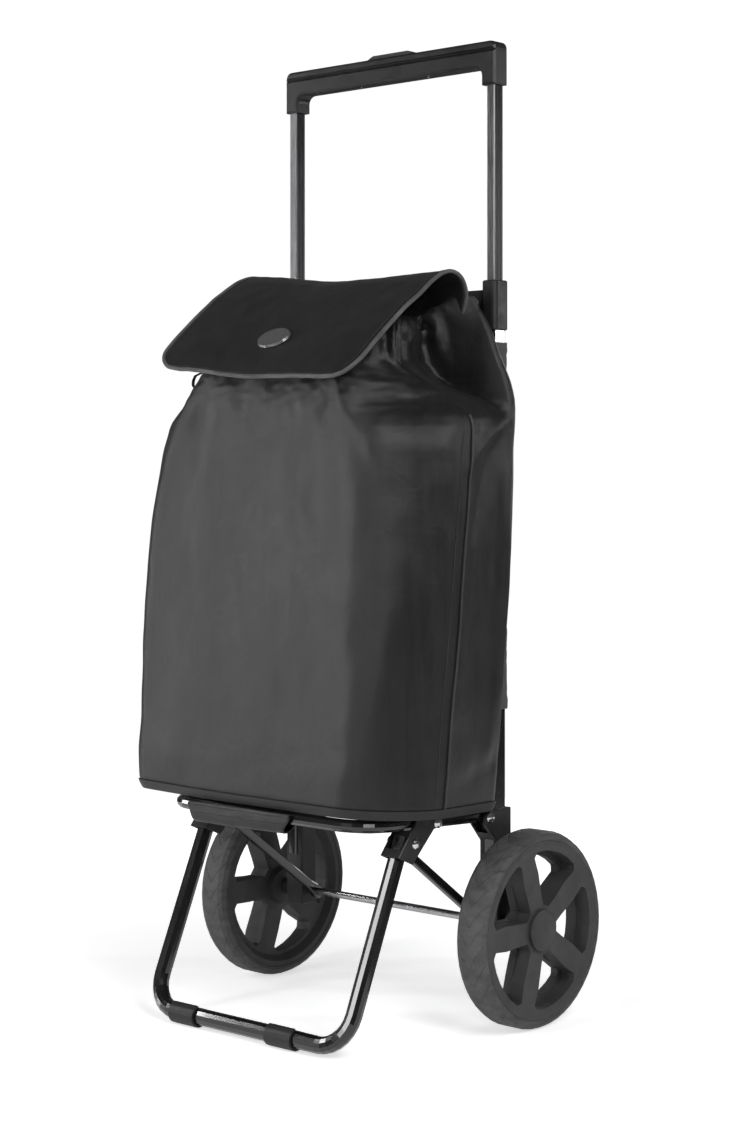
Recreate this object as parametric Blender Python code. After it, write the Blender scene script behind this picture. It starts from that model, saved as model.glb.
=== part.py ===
"""Two-wheeled shopping trolley: a soft bag on a folding steel frame with a telescopic handle.

Metres, +Z up. The front faces -Y and the user walks on the +Y side. The origin is on the floor,
under the middle of the bounding box.
"""

import math

import bmesh
import bpy
from mathutils import Matrix, Vector

# Wheels and axle
WHEEL_RADIUS = 0.100
TYRE_WIDTH = 0.037
RIM_RADIUS = 0.0905
WINDOW_RADIUS = 0.0805
HUB_RADIUS = 0.0215
SPOKES = 5
HALF_TRACK = 0.182
AXLE_RADIUS = 0.004
AXLE_Y = 0.0697
AXLE_Z = WHEEL_RADIUS

WINDOW_BACK_RADIUS = 0.0745
WINDOW_STEP_X = -0.0015
WINDOW_INSET = 0.0013
BUSH_RADIUS = 0.0085
BUSH_INNER_X = 0.1503

# Uprights and handle
UPRIGHT_X = 0.1405
UPRIGHT_Y = AXLE_Y - 0.005
UPRIGHT_SIZE = (0.0134, 0.0190)
UPRIGHT_WALL = 0.0009
UPRIGHT_BOTTOM = 0.140
UPRIGHT_TOP = 0.7555
INNER_SIZE = (0.0104, 0.0142)
INNER_WALL = 0.0014
INNER_BOTTOM = 0.640
COLLAR_BOTTOM = 0.7106
COLLAR_TOP = 0.762
COLLAR_SIZE = (0.0190, 0.0236)
GRIP_HALF_LENGTH = 0.149
GRIP_DEPTH = 0.022
ELBOW_BOTTOM = 0.963
GRIP_BOTTOM = 0.982
GRIP_SPLIT = 0.9985
GRIP_TOP = 1.008
BUTTON_HALF_LENGTH = 0.032
BUTTON_HALF_WIDTH = 0.0062
GRIP_SCREW_X = (-0.112, -0.048, 0.048, 0.112)
ROD_BOTTOM = 0.652
LOCK_PIN_RADIUS = 0.0025
LOCK_PIN_Z = 0.618

# Fold linkage, in the side view: platform pivot, leg pivot on the platform and strut end on the leg
PLATFORM_PIVOT = (AXLE_Y - 0.024, 0.2125)
PLATFORM_RISE = 0.0486
PLATFORM_FRONT_Y = AXLE_Y - 0.2035
PLATFORM_X = 0.1375
PLATFORM_RADIUS = 0.0065
PLATFORM_CORNER = 0.036
LEG_PIVOT_Y = AXLE_Y - 0.1045
LEG_RIVET = (AXLE_Y - 0.1380, 0.1995)
LEG_X = 0.1345
LEG_RADIUS = 0.0085
LEG_TOP = (AXLE_Y - 0.1438, 0.2052)
LEG_CORNER = 0.034
FOOT_Y = AXLE_Y - 0.228
FOOT_CLIP_WALL = 0.0028
FOOT_Z = LEG_RADIUS + FOOT_CLIP_WALL
FOOT_CLIP_X = (-0.0825, 0.0540)
LEG_BRACKET_X = (0.1225, 0.1475)
LOWER_BRACKET_X = (0.1265, 0.1500)
PIN_RADIUS = 0.003
PIN_HEAD_RADIUS = 0.0058
STRUT_X = 0.1165
STRUT_HALF_WIDTH = 0.0045
TUBE_WALL = 0.0013

# Soft parts
BAG_WALL = 0.0025
BAG_SPLIT = 0.425
POCKET_WALL = 0.003
BAG_GAP = 0.0012
BAG_REAR_CORNER = 0.022
BOARD_THICKNESS = 0.003
BOARD_HALF_WIDTH = 0.122
LOOP_X = (-0.095, 0.048)
SLEEVE_Z = (0.321, 0.698)
POCKET_HALF_WIDTH = 0.122
POCKET_Z = (0.270, 0.552)
POCKET_FRONT_Y = AXLE_Y - 0.0185
POCKET_BACK_Y = AXLE_Y + 0.030
ZIP_Y = POCKET_BACK_Y - 0.011
ZIP_THICKNESS = 0.0025
ZIP_LEG_BOTTOM = 0.500
FLAP_HALF_WIDTH = 0.1355
FLAP_BACK_HALF_WIDTH = 0.132
FLAP_CORNER = 0.036
FLAP_THICKNESS = 0.0024
FLAP_HINGE = (AXLE_Y - 0.0705, 0.7665)
PIPING_RADIUS = 0.0021
BADGE_SIZE = (0.041, 0.031, 0.0024)

# Height, half width in front and at the back, front and back (from the axle) and front corner radius
BAG_SECTIONS = (
    (0.2300, 0.176, 0.158, -0.2070, -0.0205, 0.045),
    (0.2420, 0.182, 0.163, -0.2130, -0.0195, 0.050),
    (0.3300, 0.186, 0.171, -0.2100, -0.0195, 0.055),
    (0.4500, 0.189, 0.181, -0.2020, -0.0195, 0.058),
    (0.5700, 0.191, 0.189, -0.1930, -0.0195, 0.058),
    (0.6050, 0.188, 0.191, -0.1900, -0.0195, 0.055),
    (0.6350, 0.160, 0.186, -0.1890, -0.0200, 0.048),
    (0.6650, 0.134, 0.176, -0.1860, -0.0220, 0.042),
    (0.6950, 0.122, 0.156, -0.1700, -0.0270, 0.040),
    (0.7120, 0.112, 0.138, -0.1500, -0.0370, 0.038),
)

# Side view of the flap's outer skin, from its crest to its front edge, measured from the axle
FLAP_PROFILE = (
    (-0.0715, 0.7665), (-0.0860, 0.7652), (-0.1020, 0.7595), (-0.1330, 0.7410), (-0.1620, 0.7190),
    (-0.1920, 0.6945), (-0.2100, 0.6780), (-0.2225, 0.6620),
)
# The same for the fixed strip behind the crest, from its lower edge upwards
FLAP_BACK_PROFILE = (
    (-0.0325, 0.7170), (-0.0360, 0.7350), (-0.0430, 0.7520), (-0.0530, 0.7630), (-0.0675, 0.7668),
)

GAP = 0.0003
ROUND_STEPS = 20


def platform_height(y):
    """Height of the platform tube's centre line, which rises a little to the front."""
    return PLATFORM_PIVOT[1] + PLATFORM_RISE * (PLATFORM_PIVOT[0] - y)


def clear_scene():
    for obj in list(bpy.data.objects):
        bpy.data.objects.remove(obj, do_unlink=True)


def material(name, colour, roughness, metallic=0.0):
    found = bpy.data.materials.get(name)
    if found:
        return found
    made = bpy.data.materials.new(name)
    made.use_nodes = True
    shader = made.node_tree.nodes["Principled BSDF"]
    shader.inputs["Base Color"].default_value = (*colour, 1.0)
    shader.inputs["Roughness"].default_value = roughness
    shader.inputs["Metallic"].default_value = metallic
    return made


def black_paint():
    return material("black_paint", (0.012, 0.012, 0.013), 0.22)


def black_plastic():
    return material("black_plastic", (0.022, 0.022, 0.024), 0.48)


def grip_plastic():
    return material("grip_plastic", (0.020, 0.020, 0.022), 0.38)


def button_plastic():
    return material("button_plastic", (0.045, 0.045, 0.048), 0.42)


def aluminium():
    return material("anodised_aluminium", (0.13, 0.13, 0.135), 0.32, 0.9)


def bright_steel():
    return material("bright_steel", (0.62, 0.62, 0.62), 0.24, 1.0)


def rubber():
    return material("tyre_rubber", (0.032, 0.032, 0.033), 0.62)


def wheel_plastic():
    return material("wheel_plastic", (0.040, 0.040, 0.042), 0.50)


def bag_fabric():
    return material("bag_fabric", (0.030, 0.030, 0.032), 0.55)


def sleeve_fabric():
    return material("sleeve_fabric", (0.075, 0.075, 0.078), 0.60)


def piping_fabric():
    return material("piping_fabric", (0.12, 0.12, 0.125), 0.50)


def badge_metal():
    return material("badge_metal", (0.22, 0.22, 0.225), 0.35, 0.6)


def board_plastic():
    return material("board_plastic", (0.05, 0.05, 0.05), 0.60)


def place(name, mesh, paint, smooth_angle=math.radians(35)):
    """Links a finished mesh into the scene as one named part."""
    obj = bpy.data.objects.new(name, mesh)
    bpy.context.scene.collection.objects.link(obj)
    mesh.materials.append(paint)
    mesh.shade_smooth()
    mesh.set_sharp_from_angle(angle=smooth_angle)
    return obj


def mesh_from(bm, name):
    bmesh.ops.remove_doubles(bm, verts=bm.verts, dist=1e-7)
    bmesh.ops.recalc_face_normals(bm, faces=bm.faces)
    mesh = bpy.data.meshes.new(name)
    bm.to_mesh(mesh)
    bm.free()
    return mesh


def box_mesh(low, high, bevel=0.0, bevel_steps=1):
    bm = bmesh.new()
    bmesh.ops.create_cube(bm, size=1.0)
    low, high = Vector(low), Vector(high)
    size = high - low
    for vert in bm.verts:
        vert.co = low + Vector((vert.co[i] + 0.5) * size[i] for i in range(3))
    if bevel:
        bmesh.ops.bevel(bm, geom=bm.edges[:], offset=bevel, segments=bevel_steps, affect="EDGES")
    return mesh_from(bm, "box")


def prism_mesh(outline, axis, start, end, bevel=0.0):
    """Extrudes a closed outline along X, Y or Z. The outline holds the other two coordinates, in order."""
    index = "XYZ".index(axis)
    bm = bmesh.new()

    def point(pair, along):
        values = list(pair)
        values.insert(index, along)
        return bm.verts.new(values)

    face = bm.faces.new([point(pair, start) for pair in outline])
    made = bmesh.ops.extrude_face_region(bm, geom=[face])
    shift = Vector([end - start if i == index else 0.0 for i in range(3)])
    bmesh.ops.translate(bm, verts=[v for v in made["geom"] if isinstance(v, bmesh.types.BMVert)], vec=shift)
    if bevel:
        rims = [e for e in bm.edges if abs(e.verts[0].co[index] - e.verts[1].co[index]) < 1e-6]
        bmesh.ops.bevel(bm, geom=rims, offset=bevel, segments=1, affect="EDGES")
    return mesh_from(bm, "prism")


def rod_mesh(axis, centre, radius, start, end, steps=ROUND_STEPS, bevel=0.0):
    """A cylinder along X, Y or Z. The centre holds the other two coordinates, in order."""
    outline = [
        (centre[0] + radius * math.cos(a), centre[1] + radius * math.sin(a))
        for a in (2 * math.pi * (i + 0.5) / steps for i in range(steps))
    ]
    return prism_mesh(outline, axis, start, end, bevel)


def turned_mesh(profile, centre, steps):
    """Turns a profile of (x, radius) points round an axis along X through the centre (y, z)."""
    bm = bmesh.new()
    points = [bm.verts.new((x, centre[0] + radius, centre[1])) for x, radius in profile]
    edges = [bm.edges.new((points[i], points[(i + 1) % len(points)])) for i in range(len(points))]
    bmesh.ops.spin(
        bm,
        geom=edges + points,
        cent=(0, *centre),
        axis=(1, 0, 0),
        angle=2 * math.pi,
        steps=steps,
        use_merge=True,
    )
    return mesh_from(bm, "turned")


def bent_path(corners, radius, steps=6):
    """The corner points joined by straight runs, with each inner corner rounded to the radius."""
    corners = [Vector(c) for c in corners]
    path = [corners[0]]
    for before, corner, after in zip(corners, corners[1:], corners[2:]):
        inward, outward = (before - corner).normalized(), (after - corner).normalized()
        half = inward.angle(outward) / 2
        reach = radius / math.tan(half)
        centre = corner + (inward + outward).normalized() * radius / math.sin(half)
        first = corner + inward * reach - centre
        last = corner + outward * reach - centre
        turn = first.angle(last)
        normal = first.cross(last).normalized()
        for i in range(steps + 1):
            path.append(centre + Matrix.Rotation(turn * i / steps, 3, normal) @ first)
    return path + [corners[-1]]


def tube(name, path, radius, paint, wall=0.0, resolution=4):
    """A round tube or rod along a path, as a curve with a bevel."""
    curve = bpy.data.curves.new(name, "CURVE")
    curve.dimensions = "3D"
    curve.bevel_depth = radius
    curve.bevel_resolution = resolution
    curve.use_fill_caps = not wall
    spline = curve.splines.new("POLY")
    spline.points.add(len(path) - 1)
    for point, place_at in zip(spline.points, path):
        point.co = (*place_at, 1.0)
    guide = bpy.data.objects.new(name + "_guide", curve)
    bpy.context.scene.collection.objects.link(guide)
    graph = bpy.context.evaluated_depsgraph_get()
    mesh = bpy.data.meshes.new_from_object(guide.evaluated_get(graph))
    bpy.data.objects.remove(guide, do_unlink=True)
    mesh.materials.clear()
    bm = bmesh.new()
    bm.from_mesh(mesh)
    obj = place(name, mesh_from(bm, name), paint)
    if wall:
        shell = obj.modifiers.new("wall", "SOLIDIFY")
        shell.thickness = wall
        shell.offset = -1
    return obj


def helper(name, mesh):
    """A hidden object that a Boolean uses."""
    obj = bpy.data.objects.new(name, mesh)
    bpy.context.scene.collection.objects.link(obj)
    obj.hide_render = True
    obj.display_type = "WIRE"
    return obj


def boolean(obj, meshes, operation):
    for number, mesh in enumerate(meshes):
        modifier = obj.modifiers.new(f"{operation.lower()}_{number}", "BOOLEAN")
        modifier.operation = operation
        modifier.solver = "EXACT"
        modifier.object = helper(f"{obj.name}_{operation.lower()}_{number}", mesh)
    return obj


def cut(obj, *meshes):
    return boolean(obj, meshes, "DIFFERENCE")


def join(obj, *meshes):
    return boolean(obj, meshes, "UNION")


def rectangular_tube(name, centre, size, wall, bottom, top, paint, corner=0.002):
    """A rectangular tube along Z with rounded edges, open at both ends."""
    obj = place(name, prism_mesh(rounded_rectangle(centre, size, corner), "Z", bottom, top), paint)
    inner = (size[0] - 2 * wall, size[1] - 2 * wall)
    bore = rounded_rectangle(centre, inner, max(corner - wall, 0.0004))
    return cut(obj, prism_mesh(bore, "Z", bottom - 0.01, top + 0.01))


def rounded_rectangle(centre, size, radius, steps=3):
    points = []
    for quarter, (sx, sy) in enumerate(((1, 1), (-1, 1), (-1, -1), (1, -1))):
        corner = (centre[0] + sx * (size[0] / 2 - radius), centre[1] + sy * (size[1] / 2 - radius))
        for i in range(steps + 1):
            angle = math.pi / 2 * (quarter + i / steps)
            points.append((corner[0] + radius * math.cos(angle), corner[1] + radius * math.sin(angle)))
    return points


def around(centre, radius, start, end, steps):
    """Points on an arc in the side view, from a start to an end angle in degrees."""
    return [
        (
            centre[0] + radius * math.cos(math.radians(start + (end - start) * i / steps)),
            centre[1] + radius * math.sin(math.radians(start + (end - start) * i / steps)),
        )
        for i in range(steps + 1)
    ]


def axis_empty(name, location):
    empty = bpy.data.objects.new(name, None)
    empty.location = location
    bpy.context.scene.collection.objects.link(empty)
    return empty


def hang(empty, *parts):
    """Parents finished parts to the empty on their joint's axis, leaving them where they are."""
    for part in parts:
        part.parent = empty
        part.matrix_parent_inverse = Matrix.Translation(-empty.location)


def side_name(side):
    return "right" if side > 0 else "left"


# Wheels


def wheel_tyre(side):
    half = TYRE_WIDTH / 2
    inner = RIM_RADIUS + GAP
    edge = WHEEL_RADIUS - 0.006
    shoulder = WHEEL_RADIUS - 0.0022
    profile = [
        (-half + 0.001, inner), (-half, inner + 0.002), (-half, edge), (-half + 0.003, shoulder),
        (-half + 0.008, WHEEL_RADIUS), (half - 0.008, WHEEL_RADIUS), (half - 0.003, shoulder),
        (half, edge), (half, inner + 0.002), (half - 0.001, inner),
    ]
    profile = [(x + side * HALF_TRACK, r) for x, r in profile]
    return place(f"tyre_{side_name(side)}", turned_mesh(profile, (AXLE_Y, AXLE_Z), 48), rubber())


def window_outline(middle, outer, shrink=0.0, steps=5):
    """One opening between two spokes that flare towards the rim, as a closed outline round the axle.

    The shrink is in degrees at each side.
    """
    inner = HUB_RADIUS + 0.004 + WINDOW_INSET * shrink
    narrow, wide, corner = math.radians(18 - shrink), math.radians(27.5 - shrink), 0.005
    polar = [(inner, -narrow * 0.6), (inner + 0.010, -narrow), (outer - 0.022, -wide + math.radians(4))]
    polar += [(outer - corner, -wide), (outer - 0.001, -wide + math.radians(3))]
    arc = wide - math.radians(5)
    rim = [(outer, -arc + 2 * arc * i / steps) for i in range(steps + 1)]
    polar = polar + rim + [(r, -a) for r, a in reversed(polar)]
    return [
        (AXLE_Y + r * math.cos(middle + a), AXLE_Z + r * math.sin(middle + a)) for r, a in polar
    ]


def window_cutter(middle, centre, side):
    """A prism with the window's smaller outline towards the frame and its full outline outside."""
    small = window_outline(middle, WINDOW_BACK_RADIUS, 1.5)
    full = window_outline(middle, WINDOW_RADIUS)
    step = centre + side * WINDOW_STEP_X
    stations = ((centre - side * 0.03, small), (step, small), (step, full), (centre + side * 0.03, full))
    bm = bmesh.new()
    rings = [[bm.verts.new((x, y, z)) for y, z in outline] for x, outline in stations]
    for low, high in zip(rings, rings[1:]):
        for i in range(len(low)):
            j = (i + 1) % len(low)
            bm.faces.new((low[i], low[j], high[j], high[i]))
    bm.faces.new(rings[0])
    bm.faces.new(rings[-1])
    return mesh_from(bm, "window")


def wheel_rim(side):
    centre = side * HALF_TRACK
    half = TYRE_WIDTH / 2
    # A dish, thinner than the tyre, between the barrel and the hub, with an open axle bore.
    outer = RIM_RADIUS
    bore = AXLE_RADIUS + GAP
    profile = [
        (-half + 0.0015, outer), (-half + 0.0015, outer - 0.006), (-0.010, WINDOW_RADIUS - 0.002),
        (-0.010, HUB_RADIUS), (-half - 0.0005, HUB_RADIUS - 0.002), (-half - 0.0005, bore),
        (half - 0.004, bore), (half - 0.004, HUB_RADIUS), (half - 0.0025, WINDOW_RADIUS),
        (half - 0.0010, outer - 0.004), (half - 0.0010, outer),
    ]
    profile = [(centre + side * x, r) for x, r in profile]
    rim = place(f"rim_{side_name(side)}", turned_mesh(profile, (AXLE_Y, AXLE_Z), 48), wheel_plastic())
    middles = [math.pi + 2 * math.pi * (spoke + 0.5) / SPOKES for spoke in range(SPOKES)]
    return cut(rim, *[window_cutter(middle, centre, side) for middle in middles])


def hub_cap(side):
    face = HALF_TRACK + TYRE_WIDTH / 2
    profile = [
        (face - 0.0037, 0.0), (face - 0.0037, HUB_RADIUS - 0.0006), (face - 0.0005, HUB_RADIUS - 0.0006),
        (face + 0.0015, HUB_RADIUS - 0.004), (face + 0.0030, 0.0),
    ]
    profile = [(side * x, r) for x, r in profile]
    return place(f"hub_cap_{side_name(side)}", turned_mesh(profile, (AXLE_Y, AXLE_Z), 32), wheel_plastic())


def wheel(side):
    axis = axis_empty(f"wheel_axis_{side_name(side)}", (side * HALF_TRACK, AXLE_Y, AXLE_Z))
    hang(axis, wheel_tyre(side), wheel_rim(side), hub_cap(side))


def axle_parts():
    end = HALF_TRACK + TYRE_WIDTH / 2 - 0.0042
    rod = rod_mesh("X", (AXLE_Y, AXLE_Z), AXLE_RADIUS, -end, end, bevel=0.0006)
    place("axle_rod", rod, bright_steel())
    for side in (-1, 1):
        stop = HALF_TRACK - TYRE_WIDTH / 2 - 0.0008
        ends = sorted((side * BUSH_INNER_X, side * stop))
        mesh = rod_mesh("X", (AXLE_Y, AXLE_Z), BUSH_RADIUS, *ends)
        bush = place(f"wheel_bush_{side_name(side)}", mesh, black_plastic())
        cut(bush, rod_mesh("X", (AXLE_Y, AXLE_Z), AXLE_RADIUS + GAP, side * 0.13, side * 0.2))


# Frame


def lower_bracket(side):
    """Holds the upright, the axle and the platform pivot. The pivot sits in a fork at the front."""
    pivot_y, pivot_z = PLATFORM_PIVOT
    front, back = UPRIGHT_Y - 0.0118, UPRIGHT_Y + 0.0152
    ear = 0.0098
    bottom, top = 0.085, 0.2190
    outline = [(front + 0.004, bottom + 0.002), (front + 0.006, bottom), (back - 0.004, bottom)]
    outline += [(back, bottom + 0.004), (back, top), (front + 0.003, top)]
    outline += around((pivot_y, pivot_z), ear - 0.004, 90, 180, 4)
    outline += [(pivot_y - ear + 0.004, 0.2045), (front + 0.004, 0.185)]
    faces = sorted(side * x for x in LOWER_BRACKET_X)
    name = f"lower_bracket_{side_name(side)}"
    body = place(name, prism_mesh(outline, "X", *faces, bevel=0.001), black_plastic())
    socket_size = (UPRIGHT_SIZE[0] + 2 * GAP, UPRIGHT_SIZE[1] + 2 * GAP)
    socket_outline = rounded_rectangle((side * UPRIGHT_X, UPRIGHT_Y), socket_size, 0.0022)
    fork = box_mesh(
        (min(side * 0.1300, side * 0.1450), pivot_y - 0.03, 0.1950),
        (max(side * 0.1300, side * 0.1450), UPRIGHT_Y - 0.0104, 0.23),
    )
    return cut(
        body,
        prism_mesh(socket_outline, "Z", UPRIGHT_BOTTOM - GAP, 0.24),
        fork,
        rod_mesh("X", (pivot_y, pivot_z), PIN_RADIUS + GAP, side * 0.11, side * 0.17),
        rod_mesh("X", (AXLE_Y, AXLE_Z), AXLE_RADIUS + GAP, side * 0.11, side * 0.17),
    )


def rivet(name, side, centre, faces):
    """A pin along X through two faces, with a domed head outside and a flat head inside."""
    inner, outer = faces
    shank, head = PIN_RADIUS, PIN_HEAD_RADIUS
    profile = [
        (inner - 0.0015, 0.0), (inner - 0.0015, shank + 0.0015), (inner - GAP, shank + 0.0015),
        (inner - GAP, shank), (outer + GAP, shank), (outer + GAP, head), (outer + 0.0012, head * 0.93),
        (outer + 0.0024, head * 0.62), (outer + 0.0029, 0.0),
    ]
    profile = [(side * x, r) for x, r in profile]
    return place(name, turned_mesh(profile, centre, 16), bright_steel())


def uprights():
    for side in (-1, 1):
        rectangular_tube(
            f"upright_{side_name(side)}", (side * UPRIGHT_X, UPRIGHT_Y), UPRIGHT_SIZE, UPRIGHT_WALL,
            UPRIGHT_BOTTOM, UPRIGHT_TOP, black_paint(),
        )
        lower_bracket(side)
        rivet(f"platform_pin_{side_name(side)}", side, PLATFORM_PIVOT, LOWER_BRACKET_X)


def yoke():
    """Two collars on the upright tops, joined by a cross plate with a skirt under it."""
    reach, apron = UPRIGHT_X - 0.004, UPRIGHT_X - 0.013
    low, high = (-reach, UPRIGHT_Y - 0.0085, 0.7200), (reach, UPRIGHT_Y + 0.0060, 0.7524)
    body = place("yoke", box_mesh(low, high, 0.002), black_plastic())
    skirt = box_mesh((-apron, UPRIGHT_Y - 0.0080, 0.7030), (apron, UPRIGHT_Y + 0.0010, 0.7300), 0.001)
    collars, cutters = [], []
    for side in (-1, 1):
        centre = (side * UPRIGHT_X, UPRIGHT_Y)
        collar = rounded_rectangle(centre, COLLAR_SIZE, 0.005)
        collars.append(prism_mesh(collar, "Z", COLLAR_BOTTOM, COLLAR_TOP, 0.0012))
        wide = (UPRIGHT_SIZE[0] + 2 * GAP, UPRIGHT_SIZE[1] + 2 * GAP)
        cutters.append(prism_mesh(rounded_rectangle(centre, wide, 0.0022), "Z", 0.70, UPRIGHT_TOP + GAP))
        narrow = (INNER_SIZE[0] + 2 * GAP, INNER_SIZE[1] + 2 * GAP)
        cutters.append(prism_mesh(rounded_rectangle(centre, narrow, 0.0014), "Z", 0.74, 0.78))
    join(body, skirt, *collars)
    return cut(body, *cutters)


# Handle


def handle_tube(side):
    return rectangular_tube(
        f"handle_tube_{side_name(side)}", (side * UPRIGHT_X, UPRIGHT_Y), INNER_SIZE, INNER_WALL,
        INNER_BOTTOM, GRIP_BOTTOM + 0.002, aluminium(), corner=0.0012,
    )


def lock_plug(side):
    """Guides the handle tube in the upright and holds the lock pin in a cross bore."""
    size = (UPRIGHT_SIZE[0] - 2 * UPRIGHT_WALL - 2 * GAP, UPRIGHT_SIZE[1] - 2 * UPRIGHT_WALL - 2 * GAP)
    outline = rounded_rectangle((side * UPRIGHT_X, UPRIGHT_Y), size, 0.0015)
    plug = place(
        f"lock_plug_{side_name(side)}", prism_mesh(outline, "Z", 0.600, INNER_BOTTOM - GAP), black_plastic()
    )
    inner_face = UPRIGHT_X - size[0] / 2
    ends = side * (inner_face - 0.002), side * (inner_face + 0.0095)
    return cut(plug, rod_mesh("X", (UPRIGHT_Y, LOCK_PIN_Z), LOCK_PIN_RADIUS + GAP, *ends))


def lock_pin(side):
    inner_face = UPRIGHT_X - UPRIGHT_SIZE[0] / 2 + UPRIGHT_WALL + GAP
    ends = sorted((side * inner_face, side * (inner_face + 0.0070)))
    pin = rod_mesh("X", (UPRIGHT_Y, LOCK_PIN_Z), LOCK_PIN_RADIUS, *ends, 12)
    obj = place(f"lock_pin_{side_name(side)}", pin, bright_steel())
    hang(axis_empty(f"lock_pin_axis_{side_name(side)}", (side * UPRIGHT_X, UPRIGHT_Y, LOCK_PIN_Z)), obj)


def grip_outline():
    """Front view of the lower shell: the bar, and an elbow down to each tube with a rounded inner corner."""
    ends, inner, corner = GRIP_HALF_LENGTH, 0.1305, 0.009
    right = [(ends, GRIP_SPLIT), (ends, ELBOW_BOTTOM), (inner, ELBOW_BOTTOM)]
    right += [
        (inner - corner + corner * math.cos(a), GRIP_BOTTOM - corner + corner * math.sin(a))
        for a in (math.pi / 2 * i / 5 for i in range(6))
    ]
    return right + [(-x, z) for x, z in reversed(right)]


def grip_lower_shell():
    front, back = UPRIGHT_Y - GRIP_DEPTH / 2, UPRIGHT_Y + GRIP_DEPTH / 2
    body = prism_mesh(grip_outline(), "Y", front, back, bevel=0.0022)
    shell = place("grip_lower_shell", body, grip_plastic())
    reach, deep = BUTTON_HALF_LENGTH + 2 * GAP, BUTTON_HALF_WIDTH + 2 * GAP
    cutters = [
        box_mesh((-0.1445, UPRIGHT_Y - 0.0050, 0.9885), (0.1445, UPRIGHT_Y + 0.0050, 1.01)),
        box_mesh((-reach, UPRIGHT_Y - deep, 0.9905), (reach, UPRIGHT_Y + deep, 1.02)),
    ]
    socket = (INNER_SIZE[0] + 2 * GAP, INNER_SIZE[1] + 2 * GAP)
    for side in (-1, 1):
        centre = (side * UPRIGHT_X, UPRIGHT_Y)
        pocket = rounded_rectangle(centre, socket, 0.0014)
        cutters.append(prism_mesh(pocket, "Z", 0.95, GRIP_BOTTOM + 0.002 + GAP))
        cutters.append(rod_mesh("Z", centre, 0.0019, 0.97, 0.995, 10))
    for x in GRIP_SCREW_X:
        cutters.append(rod_mesh("Z", (x, UPRIGHT_Y), 0.0036, 0.975, GRIP_BOTTOM + 0.0015, 12))
    return cut(shell, *cutters)


def grip_cover():
    """Upper shell of the grip, rounded along its ends, with the button's slot."""
    radius, ends = 0.0075, GRIP_HALF_LENGTH
    right = [
        (ends - radius + radius * math.cos(a), GRIP_TOP - radius + radius * math.sin(a))
        for a in (math.pi / 2 * i / 4 for i in range(5))
    ]
    outline = [(-ends, GRIP_SPLIT + GAP), (ends, GRIP_SPLIT + GAP)] + right
    outline += [(-x, z) for x, z in reversed(right)]
    front, back = UPRIGHT_Y - GRIP_DEPTH / 2, UPRIGHT_Y + GRIP_DEPTH / 2
    cover = place("grip_cover", prism_mesh(outline, "Y", front, back, bevel=0.0022), grip_plastic())
    reach, deep = BUTTON_HALF_LENGTH + 2 * GAP, BUTTON_HALF_WIDTH + 2 * GAP
    return cut(cover, box_mesh((-reach, UPRIGHT_Y - deep, 0.99), (reach, UPRIGHT_Y + deep, 1.02)))


def grip_screws():
    screws = []
    for number, x in enumerate(GRIP_SCREW_X, 1):
        head = rod_mesh("Z", (x, UPRIGHT_Y), 0.0031, 0.9815, GRIP_BOTTOM + 0.0012, 12)
        screw = place(f"grip_screw_{number}", head, bright_steel())
        slot = box_mesh((x - 0.0040, UPRIGHT_Y - 0.0004, 0.98), (x + 0.0040, UPRIGHT_Y + 0.0004, 0.9821))
        screws.append(cut(screw, slot))
    return screws


def release_button():
    """The sprung button, and under it the bail with a rod down each handle tube."""
    half, top = BUTTON_HALF_LENGTH, GRIP_TOP + 0.0045
    outline = [(-half, 0.9951), (half, 0.9951), (half, GRIP_TOP + 0.0005), (half - 0.004, top - 0.0006)]
    outline += [(half - 0.006, top), (-half + 0.009, top), (-half + 0.007, top - 0.0008)]
    outline += [(-half, GRIP_TOP + 0.0005)]
    faces = UPRIGHT_Y - BUTTON_HALF_WIDTH, UPRIGHT_Y + BUTTON_HALF_WIDTH
    cap = prism_mesh(outline, "Y", *faces, bevel=0.0008)
    button = place("release_button", cap, button_plastic())
    reach = UPRIGHT_X + 0.0018
    bail = place(
        "release_rods",
        box_mesh((-reach, UPRIGHT_Y - 0.0030, 0.9928), (reach, UPRIGHT_Y + 0.0030, 0.9948)),
        bright_steel(),
    )
    rods = [
        rod_mesh("Z", (side * UPRIGHT_X, UPRIGHT_Y), 0.0015, ROD_BOTTOM, 0.9935, 8) for side in (-1, 1)
    ]
    join(bail, *rods)
    hang(axis_empty("button_axis", (0, UPRIGHT_Y, GRIP_TOP)), button, bail)


def handle():
    axis = axis_empty("handle_axis", (0, UPRIGHT_Y, COLLAR_TOP))
    hang(axis, *[make(side) for side in (-1, 1) for make in (handle_tube, lock_plug)])
    hang(axis, grip_lower_shell(), grip_cover(), *grip_screws())
    release_button()
    for side in (-1, 1):
        lock_pin(side)


# Platform, leg and struts


def platform_frame():
    """U-shaped tube under the bag, open to the rear, pivoted in the lower brackets."""
    rear_y = PLATFORM_PIVOT[0] + 0.0055
    corners = [
        (-PLATFORM_X, rear_y, platform_height(rear_y)),
        (-PLATFORM_X, PLATFORM_FRONT_Y, platform_height(PLATFORM_FRONT_Y)),
        (PLATFORM_X, PLATFORM_FRONT_Y, platform_height(PLATFORM_FRONT_Y)),
        (PLATFORM_X, rear_y, platform_height(rear_y)),
    ]
    path = bent_path(corners, PLATFORM_CORNER)
    frame = tube("platform_tube", path, PLATFORM_RADIUS, black_paint(), TUBE_WALL)
    leg_pivot = (LEG_PIVOT_Y, platform_height(LEG_PIVOT_Y))
    holes = [
        rod_mesh("X", centre, PIN_RADIUS + GAP, side * 0.11, side * 0.17)
        for side in (-1, 1)
        for centre in (PLATFORM_PIVOT, leg_pivot)
    ]
    return cut(frame, *holes)


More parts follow.
